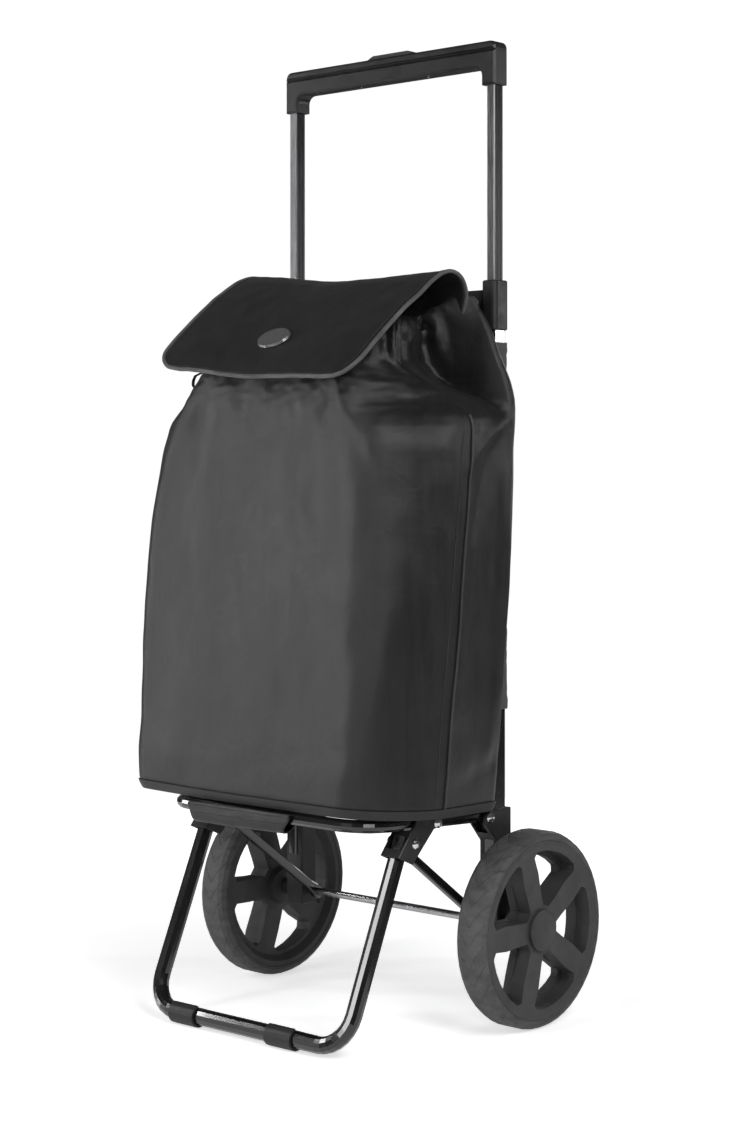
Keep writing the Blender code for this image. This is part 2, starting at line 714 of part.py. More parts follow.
def base_board():
    """Stiff board in the bottom of the bag, over the platform tube and as steep as it."""
    lift = PLATFORM_RADIUS + BAG_GAP + BAG_WALL + GAP
    front, back = PLATFORM_FRONT_Y + 0.012, PLATFORM_PIVOT[0] - 0.022
    outline = [
        (front, platform_height(front) + lift), (back, platform_height(back) + lift),
        (back, platform_height(back) + lift + BOARD_THICKNESS),
        (front, platform_height(front) + lift + BOARD_THICKNESS),
    ]
    board = prism_mesh(outline, "X", -BOARD_HALF_WIDTH, BOARD_HALF_WIDTH)
    return place("base_board", board, board_plastic())


def front_loop():
    """Fabric loop under the front of the bag, round the platform's front tube."""
    y, z = PLATFORM_FRONT_Y, platform_height(PLATFORM_FRONT_Y)
    inner, outer = PLATFORM_RADIUS + GAP, PLATFORM_RADIUS + 0.0025
    top = z + PLATFORM_RADIUS - 0.0005
    outside = [(y - outer, top), (y - outer, z)] + around((y + 0.001, z - 0.014), outer + 0.001, 180, 300, 5)
    outside += [(y + outer, z - 0.004), (y + outer, top)]
    inside = [(y + inner, top)] + around((y, z), inner, 0, -180, 8) + [(y - inner, top)]
    loop = prism_mesh(outside + inside, "X", *LOOP_X)
    return place("front_loop", loop, bag_fabric())


def platform():
    axis = axis_empty("platform_axis", (0, *PLATFORM_PIVOT))
    hang(axis, platform_frame(), base_board(), front_loop())
    pivot = (LEG_PIVOT_Y, platform_height(LEG_PIVOT_Y))
    for side in (-1, 1):
        hang(axis, rivet(f"leg_pin_{side_name(side)}", side, pivot, LEG_BRACKET_X))


def leg_bracket(side):
    """Channel that straddles the platform tube and holds the top of the leg."""
    along = Vector((LEG_TOP[0] - FOOT_Y, LEG_TOP[1] - FOOT_Z)).normalized()
    across = Vector((along[1], -along[0]))
    foot = Vector(LEG_TOP) - along * 0.023
    pivot = Vector((LEG_PIVOT_Y, platform_height(LEG_PIVOT_Y)))
    front_low = foot - across * 0.0115
    back_low = foot + across * 0.0120
    outline = [tuple(front_low), tuple(back_low)]
    outline += [(pivot[0] - 0.0050, pivot[1] - 0.0058)]
    outline += around(pivot, 0.0068, -50, 70, 5)
    outline += [(LEG_TOP[0] + 0.0075, 0.2228), (LEG_TOP[0] - 0.0035, 0.2085)]
    name = f"leg_bracket_{side_name(side)}"
    body = prism_mesh(outline, "X", *sorted(side * x for x in LEG_BRACKET_X), bevel=0.0008)
    bracket = place(name, body, black_plastic())
    # The channel is open to the rear and above, and a front wall stays in front of the leg.
    wall_front = foot - across * 0.0091 - along * 0.02
    wall_top = foot - across * 0.0091 + along * 0.06
    channel = [wall_front, wall_front + across * 0.06, wall_top + across * 0.06, wall_top]
    low, high = sorted((side * 0.1250, side * 0.1450))
    return cut(
        bracket,
        prism_mesh(channel, "X", low, high),
        box_mesh((low, AXLE_Y - 0.20, 0.2095), (high, AXLE_Y - 0.05, 0.24)),
        rod_mesh("X", tuple(pivot), PIN_RADIUS + GAP, side * 0.11, side * 0.17),
        rod_mesh("X", LEG_RIVET, PIN_RADIUS + GAP, side * 0.11, side * 0.17),
    )


def leg_frame():
    """U-shaped tube whose bottom bar is the front foot."""
    corners = [(-LEG_X, *LEG_TOP), (-LEG_X, FOOT_Y, FOOT_Z), (LEG_X, FOOT_Y, FOOT_Z), (LEG_X, *LEG_TOP)]
    frame = tube("leg_tube", bent_path(corners, LEG_CORNER, 7), LEG_RADIUS, black_paint(), TUBE_WALL)
    holes = [rod_mesh("X", LEG_RIVET, PIN_RADIUS + GAP, side * 0.11, side * 0.17) for side in (-1, 1)]
    return cut(frame, *holes)


def foot_clip(number, x):
    """C-shaped clip round the foot bar, open at the top rear."""
    inner, outer = LEG_RADIUS + GAP, LEG_RADIUS + FOOT_CLIP_WALL
    centre = (FOOT_Y, FOOT_Z)
    ring = around(centre, outer, 100, 390, 16) + around(centre, inner, 390, 100, 16)
    clip = prism_mesh(ring, "X", x - 0.0175, x + 0.0175)
    return place(f"foot_clip_{number}", clip, black_plastic())


def leg():
    pivot_z = platform_height(LEG_PIVOT_Y)
    axis = axis_empty("leg_axis", (0, LEG_PIVOT_Y, pivot_z))
    hang(axis, leg_frame())
    hang(axis, *[foot_clip(number, x) for number, x in enumerate(FOOT_CLIP_X, 1)])
    for side in (-1, 1):
        name = f"leg_rivet_{side_name(side)}"
        hang(axis, leg_bracket(side), rivet(name, side, LEG_RIVET, LEG_BRACKET_X))


def strut(side):
    """Flat bar from beside the leg bracket down to the axle, which it turns on."""
    axle, top = Vector((AXLE_Y, AXLE_Z)), Vector(LEG_RIVET)
    along = (top - axle).normalized()
    angle = math.degrees(math.atan2(along[1], along[0]))
    neck, sideways = axle + along * 0.016, Vector((-along[1], along[0])) * STRUT_HALF_WIDTH
    outline = around(axle, 0.0078, angle + 50, angle + 310, 8)
    outline += [tuple(neck - sideways)]
    outline += around(top, STRUT_HALF_WIDTH, angle - 90, angle + 90, 5)
    outline += [tuple(neck + sideways)]
    low, high = sorted((side * (STRUT_X - 0.004), side * (STRUT_X + 0.004)))
    bar = place(f"strut_{side_name(side)}", prism_mesh(outline, "X", low, high, bevel=0.0012), black_paint())
    return cut(bar, rod_mesh("X", tuple(axle), AXLE_RADIUS + GAP, side * 0.10, side * 0.13))


def struts():
    hang(axis_empty("strut_axis", (0, AXLE_Y, AXLE_Z)), *[strut(side) for side in (-1, 1)])


# Soft parts


def bag_ring(front_half, back_half, front, back, corner, inset, steps=5):
    """Plan outline of the bag at one height: a rounded quadrilateral, wider or narrower at the back."""
    points = []
    corners = [(front_half, front, -1, 1), (back_half, back, 1, 1)]
    corners += [(-back_half, back, 1, -1), (-front_half, front, -1, -1)]
    for half, y, toward, side in corners:
        radius = corner if toward < 0 else BAG_REAR_CORNER
        cx = half - side * radius
        cy = y - toward * radius
        reach = radius - inset
        start = {(-1, 1): -90, (1, 1): 0, (1, -1): 90, (-1, -1): 180}[(toward, side)]
        for i in range(steps + 1):
            angle = math.radians(start + 90 * i / steps)
            points.append((cx + reach * math.cos(angle), cy + reach * math.sin(angle)))
    return points


def section_at(height):
    """The bag's section at a height between two of the listed ones."""
    for low, high in zip(BAG_SECTIONS, BAG_SECTIONS[1:]):
        if low[0] <= height <= high[0]:
            share = (height - low[0]) / (high[0] - low[0])
            return tuple(a + share * (b - a) for a, b in zip(low, high))
    return BAG_SECTIONS[-1]


def bag_shell(name, sections, closed):
    """Hollow shell lofted through its sections, open at the top, and with or without a bottom."""
    bm = bmesh.new()

    def ring(section, inset, lift):
        height, front_half, back_half, front, back, corner = section
        outline = bag_ring(front_half, back_half, AXLE_Y + front, AXLE_Y + back, corner, inset)
        # The bottom follows the platform's slope, which fades out up the sides.
        fade = max(0.0, 1 - (height - BAG_SECTIONS[0][0]) / 0.10)
        rest = PLATFORM_RADIUS + BAG_GAP - BAG_SECTIONS[0][0]
        return [bm.verts.new((x, y, height + lift + fade * (platform_height(y) + rest))) for x, y in outline]

    outer = [ring(section, 0.0, 0.0) for section in sections]
    inner = [ring(section, BAG_WALL, 0.0) for section in sections]
    if closed:
        inner[0] = ring(sections[0], BAG_WALL, BAG_WALL)
    loops = outer + inner[::-1]
    if not closed:
        loops.append(outer[0])
    for low, high in zip(loops, loops[1:]):
        for i in range(len(low)):
            j = (i + 1) % len(low)
            bm.faces.new((low[i], low[j], high[j], high[i]))
    if closed:
        bm.faces.new(list(reversed(loops[0])))
        bm.faces.new(loops[-1])
    return place(name, mesh_from(bm, name), bag_fabric())


def bag():
    """The bag, in two solids that meet just above the folded platform: the lower one folds with it."""
    lower = [section for section in BAG_SECTIONS if section[0] < BAG_SPLIT] + [section_at(BAG_SPLIT)]
    upper = [section_at(BAG_SPLIT + GAP)] + [section for section in BAG_SECTIONS if section[0] > BAG_SPLIT]
    bag_shell("bag_lower", lower, closed=True)
    bag_shell("bag_upper", upper, closed=False)


def tube_sleeve(side):
    """Fabric channel on the back of the bag that the upright runs through."""
    size = (UPRIGHT_SIZE[0] + 0.0034, UPRIGHT_SIZE[1] + 0.0034)
    return rectangular_tube(
        f"tube_sleeve_{side_name(side)}", (side * UPRIGHT_X, UPRIGHT_Y), size, 0.0014, *SLEEVE_Z,
        sleeve_fabric(), corner=0.0035,
    )


def rear_pocket():
    """Box-shaped pocket behind the bag. Its open side leans back to leave room for the folded board."""
    low, high = POCKET_Z
    centre = (0, (low + high) / 2)
    size = (2 * POCKET_HALF_WIDTH, high - low)
    outline = rounded_rectangle(centre, size, 0.012)
    body = prism_mesh(outline, "Y", POCKET_FRONT_Y, POCKET_BACK_Y, bevel=0.002)
    pocket = place("rear_pocket", body, bag_fabric())
    inside = rounded_rectangle(centre, [length - 2 * POCKET_WALL for length in size], 0.009)
    far = POCKET_FRONT_Y - 0.01
    wedge = [(far, low - 0.01), (POCKET_FRONT_Y + 0.0073, low - 0.01), (POCKET_FRONT_Y - 0.0008, 0.445)]
    wedge.append((far, 0.445))
    return cut(
        pocket,
        prism_mesh(inside, "Y", far, POCKET_BACK_Y - POCKET_WALL),
        prism_mesh(wedge, "X", -POCKET_HALF_WIDTH - 0.01, POCKET_HALF_WIDTH + 0.01),
    )


def zip_tape():
    """Closed zip across the top of the rear pocket, turned down at both ends."""
    half_depth = 0.003
    inner = POCKET_HALF_WIDTH + GAP
    outer = inner + ZIP_THICKNESS
    top = POCKET_Z[1] + GAP
    outline = [(-outer, ZIP_LEG_BOTTOM), (-inner, ZIP_LEG_BOTTOM), (-inner, top), (inner, top)]
    outline += [(inner, ZIP_LEG_BOTTOM), (outer, ZIP_LEG_BOTTOM), (outer, top + ZIP_THICKNESS)]
    outline += [(-outer, top + ZIP_THICKNESS)]
    tape = prism_mesh(outline, "Y", ZIP_Y - half_depth, ZIP_Y + half_depth)
    return place("zip_tape", tape, black_plastic())


def zip_slider():
    """Slider at the lower end of the zip's right leg, with the puller hanging from it."""
    x = POCKET_HALF_WIDTH + ZIP_THICKNESS + 2 * GAP
    depth = 0.0025
    low, high = ZIP_LEG_BOTTOM + 0.001, ZIP_LEG_BOTTOM + 0.011
    body = box_mesh((x, ZIP_Y - 0.0035, low), (x + depth, ZIP_Y + 0.0035, high), 0.0006)
    slider = place("zip_slider", body, black_plastic())
    hang(axis_empty("slider_axis", (x, ZIP_Y, (low + high) / 2)), slider)
    x += depth + GAP
    low, high = ZIP_LEG_BOTTOM - 0.030, ZIP_LEG_BOTTOM + 0.0078
    body = box_mesh((x, ZIP_Y - 0.0025, low), (x + 0.0016, ZIP_Y + 0.0025, high), 0.0004)
    puller = place("zip_puller", body, black_plastic())
    hang(axis_empty("puller_axis", (x, ZIP_Y, high)), puller)


def resampled(profile, count):
    """Evenly spaced points along a polyline, as (y, z, distance)."""
    points = [Vector((AXLE_Y + y, z)) for y, z in profile]
    lengths = [(b - a).length for a, b in zip(points, points[1:])]
    total = sum(lengths)
    found = []
    for i in range(count):
        left = total * i / (count - 1)
        for a, b, length in zip(points, points[1:], lengths):
            if left <= length + 1e-9:
                spot = a.lerp(b, min(1.0, left / length))
                found.append((spot[0], spot[1], total * i / (count - 1)))
                break
            left -= length
    return found, total


def flap_half_width(distance, total, grow=0.0):
    """Half width of the flap at a distance along it: its two front corners are rounded."""
    radius = FLAP_CORNER + grow
    into = distance - (total + grow - radius)
    if into <= 0:
        return FLAP_HALF_WIDTH + grow
    return FLAP_HALF_WIDTH + grow - radius + math.sqrt(max(radius**2 - into**2, 0.0))


def sheet(name, rows, paint, thickness):
    """A curved sheet from rows of points, thickened downwards."""
    bm = bmesh.new()
    grid = [[bm.verts.new(p) for p in row] for row in rows]
    for low, high in zip(grid, grid[1:]):
        for i in range(len(low) - 1):
            bm.faces.new((low[i], low[i + 1], high[i + 1], high[i]))
    mesh = bpy.data.meshes.new(name)
    bm.to_mesh(mesh)
    bm.free()
    obj = place(name, mesh, paint)
    shell = obj.modifiers.new("thickness", "SOLIDIFY")
    shell.thickness = thickness
    shell.offset = -1
    return obj


def flap():
    """The lid of the bag, hinged along its crest, with its piped edge and a plain badge."""
    points, total = resampled(FLAP_PROFILE, 15)
    columns = 8
    rows = []
    for y, z, distance in points:
        half = flap_half_width(distance, total)
        rows.append([(half * (1 - 2 * i / columns), y, z) for i in range(columns + 1)])
    lid = sheet("flap", rows, bag_fabric(), FLAP_THICKNESS)
    axis = axis_empty("flap_axis", (0, *FLAP_HINGE))
    hang(axis, lid, flap_piping(total), badge())


def flap_piping(total):
    grow = PIPING_RADIUS + 0.0006
    fine, _ = resampled(FLAP_PROFILE, 57)
    side = [(flap_half_width(d, total, grow), y, z - FLAP_THICKNESS / 2) for y, z, d in fine[:-1]]
    y, z, _ = fine[-1]
    before_y, before_z, _ = fine[-2]
    step = Vector((y - before_y, z - before_z)).normalized() * grow
    half = flap_half_width(total, total, grow)
    side.append((half, y + step[0] * 0.75, z + step[1] * 0.75 - FLAP_THICKNESS / 2))
    end = (FLAP_HALF_WIDTH - FLAP_CORNER, y + step[0], z + step[1] - FLAP_THICKNESS / 2)
    side.append(end)
    path = side + [(-x, py, pz) for x, py, pz in reversed(side)]
    return tube("flap_piping", [Vector(p) for p in path], PIPING_RADIUS, piping_fabric(), resolution=2)


def badge():
    """Plain oval badge on the front of the flap, in the middle of its fifth straight run."""
    thickness = BADGE_SIZE[2]
    bm = bmesh.new()
    bmesh.ops.create_cone(bm, cap_ends=True, segments=28, radius1=0.5, radius2=0.47, depth=thickness)
    bmesh.ops.scale(bm, vec=(BADGE_SIZE[0], BADGE_SIZE[1], 1.0), verts=bm.verts)
    upper, lower = Vector(FLAP_PROFILE[4]), Vector(FLAP_PROFILE[5])
    slope = math.atan2(upper[1] - lower[1], upper[0] - lower[0])
    normal = Vector((0, -math.sin(slope), math.cos(slope)))
    middle = upper.lerp(lower, 0.8)
    spot = Vector((0, AXLE_Y + middle[0], middle[1])) + normal * (thickness / 2 + 2 * GAP)
    turn = Matrix.Rotation(slope, 4, "X")
    bmesh.ops.transform(bm, matrix=Matrix.Translation(spot) @ turn, verts=bm.verts)
    return place("badge", mesh_from(bm, "badge"), badge_metal())


def flap_back():
    """Fixed strip that joins the flap to the back of the bag, up to the crest."""
    points, _ = resampled(FLAP_BACK_PROFILE, 7)
    columns = 4
    across = [FLAP_BACK_HALF_WIDTH * (1 - 2 * i / columns) for i in range(columns + 1)]
    rows = [[(x, y, z) for x in across] for y, z, _ in points]
    return sheet("flap_back", rows, bag_fabric(), FLAP_THICKNESS)


def build():
    clear_scene()
    for side in (-1, 1):
        wheel(side)
        tube_sleeve(side)
    axle_parts()
    uprights()
    yoke()
    handle()
    platform()
    leg()
    struts()
    bag()
    rear_pocket()
    zip_tape()
    zip_slider()
    flap()
    flap_back()


build()
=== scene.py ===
"""Looks of a two-wheeled shopping trolley: a soft bag on a folding frame with a telescopic handle."""

import math

import bmesh
import bpy
import numpy as np
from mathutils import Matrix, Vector, noise


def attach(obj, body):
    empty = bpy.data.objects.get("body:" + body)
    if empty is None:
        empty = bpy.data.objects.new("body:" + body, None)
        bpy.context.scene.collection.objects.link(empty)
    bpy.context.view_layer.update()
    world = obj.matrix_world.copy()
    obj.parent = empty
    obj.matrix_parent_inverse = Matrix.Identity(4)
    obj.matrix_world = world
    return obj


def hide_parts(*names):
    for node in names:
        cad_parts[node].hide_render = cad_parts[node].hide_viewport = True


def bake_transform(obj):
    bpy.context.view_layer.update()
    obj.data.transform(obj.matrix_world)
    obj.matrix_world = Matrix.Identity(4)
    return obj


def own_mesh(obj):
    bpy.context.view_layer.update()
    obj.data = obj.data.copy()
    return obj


# Places on the frame
AXLE_Y = 0.0697
AXLE_Z = 0.1
WHEEL_X = 0.182
TYRE_SHOULDER = (0.0945, 0.0965)
UPRIGHT_X = 0.1405
UPRIGHT_Y = AXLE_Y - 0.005
PLATFORM_PIVOT = (AXLE_Y - 0.024, 0.2125)
PLATFORM_RISE = 0.0486
PLATFORM_FRONT_Y = AXLE_Y - 0.2035

# Soft pieces
BAG_REST = 0.0077
BAG_BOTTOM_Z = 0.2300
BAG_CLOTH = 0.0016
SEAM_TOP = 0.622
SLEEVE_Z = (0.321, 0.698)
SLEEVE_HEM = 0.0095
SLEEVE_HALF = (0.0083, 0.0111)
SLEEVE_BORE = (0.0074, 0.0102)
POCKET_Z = (0.270, 0.552)
POCKET_HALF_WIDTH = 0.122
POCKET_BACK_Y = AXLE_Y + 0.030
LOOP_DROP = 0.0156
FLAP_HALF_WIDTH = 0.1355
FLAP_CORNER = 0.036
FLAP_CLOTH = 0.0022

# Stage
FLOOR_RADIUS = 1.5
FLOOR_BOUNCE = 0.30
CAMERA_PLACE = (1.5611, -1.7853 + AXLE_Y, 0.5718)
CAMERA_TURN = 41.6978
CAMERA_LENS = 70.71246
CAMERA_SHIFT = -0.0861477


def platform_height(y):
    """Height of the platform tube's middle, which rises towards its front."""
    return PLATFORM_PIVOT[1] + PLATFORM_RISE * (PLATFORM_PIVOT[0] - y)


# Mesh helpers


def mesh_object(name, points, faces, angle=60):
    mesh = bpy.data.meshes.new(name)
    mesh.from_pydata([tuple(map(float, p)) for p in points], [], faces)
    mesh.validate()
    obj = bpy.data.objects.new(name, mesh)
    bpy.context.scene.collection.objects.link(obj)
    mesh.shade_smooth()
    mesh.set_sharp_from_angle(angle=math.radians(angle))
    return obj


def outward(obj, merged=False):
    """Turns all the faces of a closed mesh outwards, with doubled points merged first where asked."""
    bm = bmesh.new()
    bm.from_mesh(obj.data)
    if merged:
        bmesh.ops.remove_doubles(bm, verts=bm.verts, dist=1e-7)
    bmesh.ops.recalc_face_normals(bm, faces=bm.faces)
    bm.to_mesh(obj.data)
    bm.free()
    return obj


def grid_faces(rows, columns, wrap=False, first=0):
    across = columns if wrap else columns - 1
    faces = []
    for r in range(rows - 1):
        for c in range(across):
            d = (c + 1) % columns
            a, b = first + r * columns, first + (r + 1) * columns
            faces.append((a + c, a + d, b + d, b + c))
    return faces


def tube_mesh(path, radius, sides=8, closed=False, flatten=1.0, up=None):
    """Points and faces of a round or flattened tube along a path."""
    path = np.asarray(path, float)
    count = len(path)
    if closed:
        along = np.roll(path, -1, 0) - np.roll(path, 1, 0)
    else:
        along = np.gradient(path, axis=0)
    along /= np.linalg.norm(along, axis=1)[:, None]
    side = np.asarray(up if up is not None else (0.0, 0.0, 1.0), float)
    if abs(side @ along[0]) > 0.9:
        side = np.array((1.0, 0.0, 0.0))
    points = []
    for i in range(count):
        side = side - (side @ along[i]) * along[i]
        side /= np.linalg.norm(side)
        other = np.cross(along[i], side)
        for k in range(sides):
            a = 2 * math.pi * k / sides
            points.append(path[i] + radius * (math.cos(a) * side + flatten * math.sin(a) * other))
    faces = grid_faces(count, sides, wrap=True)
    last = (count - 1) * sides
    if closed:
        faces += [(last + k, last + (k + 1) % sides, (k + 1) % sides, k) for k in range(sides)]
    else:
        faces.append(tuple(range(sides))[::-1])
        faces.append(tuple(range(last, last + sides)))
    return points, faces


def tube_object(name, path, radius, **options):
    points, faces = tube_mesh(path, radius, **options)
    return outward(mesh_object(name, points, faces))


def joined(name, parts, angle=60):
    """One object from several lists of points and faces."""
    points, faces = [], []
    for some, their in parts:
        base = len(points)
        points.extend(some)
        faces.extend(tuple(base + i for i in face) for face in their)
    return outward(mesh_object(name, points, faces, angle))


def resampled(path, step):
    """The path again, with points at an even step."""
    path = np.asarray(path, float)
    lengths = np.r_[0, np.cumsum(np.linalg.norm(np.diff(path, axis=0), axis=1))]
    wanted = np.linspace(0, lengths[-1], max(2, int(round(lengths[-1] / step)) + 1))
    return np.stack([np.interp(wanted, lengths, path[:, i]) for i in range(3)], axis=1)


# Stations along one stitch, as shares of its length and of its thread's radius
STITCH = ((-0.5, 0.0), (-0.3, 0.9), (0.3, 0.9), (0.5, 0.0))


def stitches(name, path, normals, pitch=0.0034, length=0.0022, radius=0.00032):
    """A row of sewn stitches along a path that lies on a surface."""
    even = resampled(path, pitch / 2)
    lift = resampled_with(path, normals, even)
    parts = []
    for i in range(0, len(even) - 1, 2):
        middle = (even[i] + even[i + 1]) / 2
        along = even[i + 1] - even[i]
        size = np.linalg.norm(along)
        if size < 1e-7:
            continue
        along /= size
        up = lift[i]
        bow = [middle + along * length * share + up * radius * rise for share, rise in STITCH]
        parts.append(tube_mesh(bow, radius, sides=5, up=up))
    return joined(name, parts)


def thicken(obj, thickness, offset):
    """Gives an open sheet a thickness."""
    shell = obj.modifiers.new("cloth", "SOLIDIFY")
    shell.thickness = thickness
    shell.offset = offset
    bpy.context.view_layer.objects.active = obj
    obj.select_set(True)
    bpy.ops.object.modifier_apply(modifier=shell.name)
    return obj


def resampled_with(path, values, targets):
    """Each target's value, taken from the nearest point of the path."""
    path, values = np.asarray(path, float), np.asarray(values, float)
    return np.array([values[np.argmin(((path - t) ** 2).sum(1))] for t in targets])


def smoothstep(value, low, high):
    t = np.clip((value - low) / (high - low), 0, 1)
    return t * t * (3 - 2 * t)


def soft_noise(points, scale, seed=0.0):
    """Smooth noise from -1 to 1 at each point, with features of about 1 / scale metres."""
    shift = Vector((seed * 7.31, seed * 3.17, seed * 5.71))
    return np.array([noise.noise(Vector(p) * scale + shift) for p in points])


# Materials


def node(tree, kind, inputs=None, **settings):
    made = tree.nodes.new(kind)
    for name, value in settings.items():
        setattr(made, name, value)
    for name, value in (inputs or {}).items():
        if isinstance(value, bpy.types.NodeSocket):
            tree.links.new(value, made.inputs[name])
        else:
            made.inputs[name].default_value = value
    return made


def maths(tree, operation, *values):
    made = node(tree, "ShaderNodeMath", operation=operation)
    for socket, value in zip(made.inputs, values):
        if isinstance(value, bpy.types.NodeSocket):
            tree.links.new(value, socket)
        else:
            socket.default_value = value
    return made.outputs[0]


def times(tree, one, other):
    return maths(tree, "MULTIPLY", one, other)


def plus(tree, one, other):
    return maths(tree, "ADD", one, other)


def away(tree, value, middle):
    """How far a value is from a middle one, on either side."""
    return maths(tree, "ABSOLUTE", maths(tree, "SUBTRACT", value, middle))


def wave(tree, value, pitch):
    """A sine along a value, with one wave in every pitch."""
    return maths(tree, "SINE", times(tree, value, 2 * math.pi / pitch))


def fresh(name, **constants):
    """A Principled material with its constant values set on the shader itself."""
    made = bpy.data.materials.new(name)
    made.use_nodes = True
    tree = made.node_tree
    shader = tree.nodes["Principled BSDF"]
    for key, value in constants.items():
        shader.inputs[key.replace("_", " ").title().replace("Ior", "IOR")].default_value = value
    place = node(tree, "ShaderNodeTexCoord").outputs["Object"]
    return made, tree, shader, place


def noise_of(tree, place, scale, detail=3.0, roughness=0.5, stretch=None, distortion=0.0):
    if stretch:
        place = node(tree, "ShaderNodeMapping", {"Vector": place, "Scale": stretch}).outputs[0]
    wanted = {"Vector": place, "Scale": scale, "Detail": detail, "Roughness": roughness}
    wanted["Distortion"] = distortion
    return node(tree, "ShaderNodeTexNoise", wanted).outputs["Fac"]


def between(tree, share, low, high, start=0.3, end=0.7):
    """Maps a share to a range of values."""
    wanted = {"Value": share, "From Min": start, "From Max": end, "To Min": low, "To Max": high}
    return node(tree, "ShaderNodeMapRange", wanted).outputs[0]


def shades(tree, share, dark, light, start=0.3, end=0.7):
    """A colour between two shades."""
    ramp = node(tree, "ShaderNodeValToRGB", {"Fac": share})
    first, last = ramp.color_ramp.elements
    first.position, last.position = start, end
    first.color, last.color = (*dark, 1.0), (*light, 1.0)
    return ramp.outputs[0]


def bumped(tree, height, distance, strength=1.0, under=None):
    wanted = {"Height": height, "Distance": distance, "Strength": strength}
    if under is not None:
        wanted["Normal"] = under
    return node(tree, "ShaderNodeBump", wanted).outputs[0]


def link(tree, output, shader, name):
    tree.links.new(output, shader.inputs[name])


def nylon(name, dark, light, roughness=(0.46, 0.60), crumple=0.0011):
    """Coated nylon: a fine vertical rib, a plain weave under it and soft creases."""
    made, tree, shader, place = fresh(name, specular_ior_level=0.42, sheen_weight=0.06, sheen_roughness=0.45)
    split = node(tree, "ShaderNodeSeparateXYZ", {"Vector": place})
    across = plus(tree, split.outputs[0], times(tree, split.outputs[1], 0.93))
    warp = wave(tree, across, 0.0013)
    weft = wave(tree, split.outputs[2], 0.0011)
    weave = plus(tree, times(tree, warp, 0.7), times(tree, weft, 0.3))
    broad = noise_of(tree, place, 7.0, 3.0, 0.55)
    streak = noise_of(tree, place, 26.0, 4.0, 0.6, stretch=(3.2, 3.2, 0.35))
    folds = noise_of(tree, place, 34.0, 3.0, 0.55, distortion=0.6)
    tone = plus(tree, times(tree, broad, 0.5), times(tree, streak, 0.5))
    tone = plus(tree, tone, times(tree, weave, 0.035))
    link(tree, shades(tree, tone, dark, light, 0.36, 0.64), shader, "Base Color")
    link(tree, between(tree, streak, *roughness), shader, "Roughness")
    creased = bumped(tree, folds, crumple, 0.6)
    link(tree, bumped(tree, weave, 0.0001, 0.7, creased), shader, "Normal")
    return made


def gloss_paint():
    """Black paint under a clear gloss, with a faint orange peel."""
    made, tree, shader, place = fresh("gloss_black_paint", coat_weight=0.9, coat_roughness=0.06)
    speck = noise_of(tree, place, 55.0, 4.0, 0.6)
    link(tree, shades(tree, speck, (0.0045, 0.0045, 0.005), (0.0085, 0.0085, 0.009)), shader, "Base Color")
    link(tree, between(tree, noise_of(tree, place, 21.0, 4.0), 0.13, 0.22), shader, "Roughness")
    link(tree, bumped(tree, noise_of(tree, place, 420.0, 2.0), 0.00004, 0.5), shader, "Normal")
    return made


def moulded(name, dark, light, roughness=(0.40, 0.52), shine=0.4):
    """Moulded plastic with a fine spark texture and slight colour drift."""
    made, tree, shader, place = fresh(name, specular_ior_level=shine)
    drift = noise_of(tree, place, 30.0, 4.0, 0.55)
    link(tree, shades(tree, drift, dark, light), shader, "Base Color")
    link(tree, between(tree, noise_of(tree, place, 90.0, 3.0), *roughness), shader, "Roughness")
    link(tree, bumped(tree, noise_of(tree, place, 1500.0, 2.0), 0.00009, 0.6), shader, "Normal")
    return made


def tyre_rubber():
    """Rubber with moulded rings on the side wall, slanted tread cuts on the shoulders and light scuffs."""
    made, tree, shader, place = fresh("tyre_rubber_worn", specular_ior_level=0.35)
    split = node(tree, "ShaderNodeSeparateXYZ", {"Vector": place})
    y = maths(tree, "SUBTRACT", split.outputs[1], AXLE_Y)
    z = maths(tree, "SUBTRACT", split.outputs[2], AXLE_Z)
    radius = maths(tree, "SQRT", plus(tree, maths(tree, "POWER", y, 2.0), maths(tree, "POWER", z, 2.0)))
    turn = maths(tree, "ARCTAN2", z, y)
    off_middle = away(tree, maths(tree, "ABSOLUTE", split.outputs[0]), WHEEL_X)
    lean = plus(tree, times(tree, turn, 30.0), times(tree, off_middle, 420.0))
    cut = between(tree, maths(tree, "SINE", lean), 0.0, 1.0, 0.90, 0.99)
    tread = times(tree, cut, between(tree, radius, 0.0, 1.0, *TYRE_SHOULDER))
    rings = between(tree, wave(tree, radius, 0.0024), 0.0, 1.0, 0.55, 0.95)
    wall = between(tree, radius, 1.0, 0.0, TYRE_SHOULDER[0], TYRE_SHOULDER[0] + 0.0015)
    relief = plus(tree, tread, times(tree, times(tree, rings, wall), 0.22))
    scuff = noise_of(tree, place, 60.0, 6.0, 0.65, stretch=(1.0, 0.5, 2.0))
    tone = shades(tree, scuff, (0.055, 0.055, 0.056), (0.115, 0.115, 0.117), 0.35, 0.75)
    link(tree, tone, shader, "Base Color")
    link(tree, between(tree, scuff, 0.50, 0.68), shader, "Roughness")
    grain = bumped(tree, noise_of(tree, place, 700.0, 3.0), 0.00008, 0.5)
    link(tree, bumped(tree, times(tree, relief, -1.0), 0.0009, 0.8, grain), shader, "Normal")
    return made


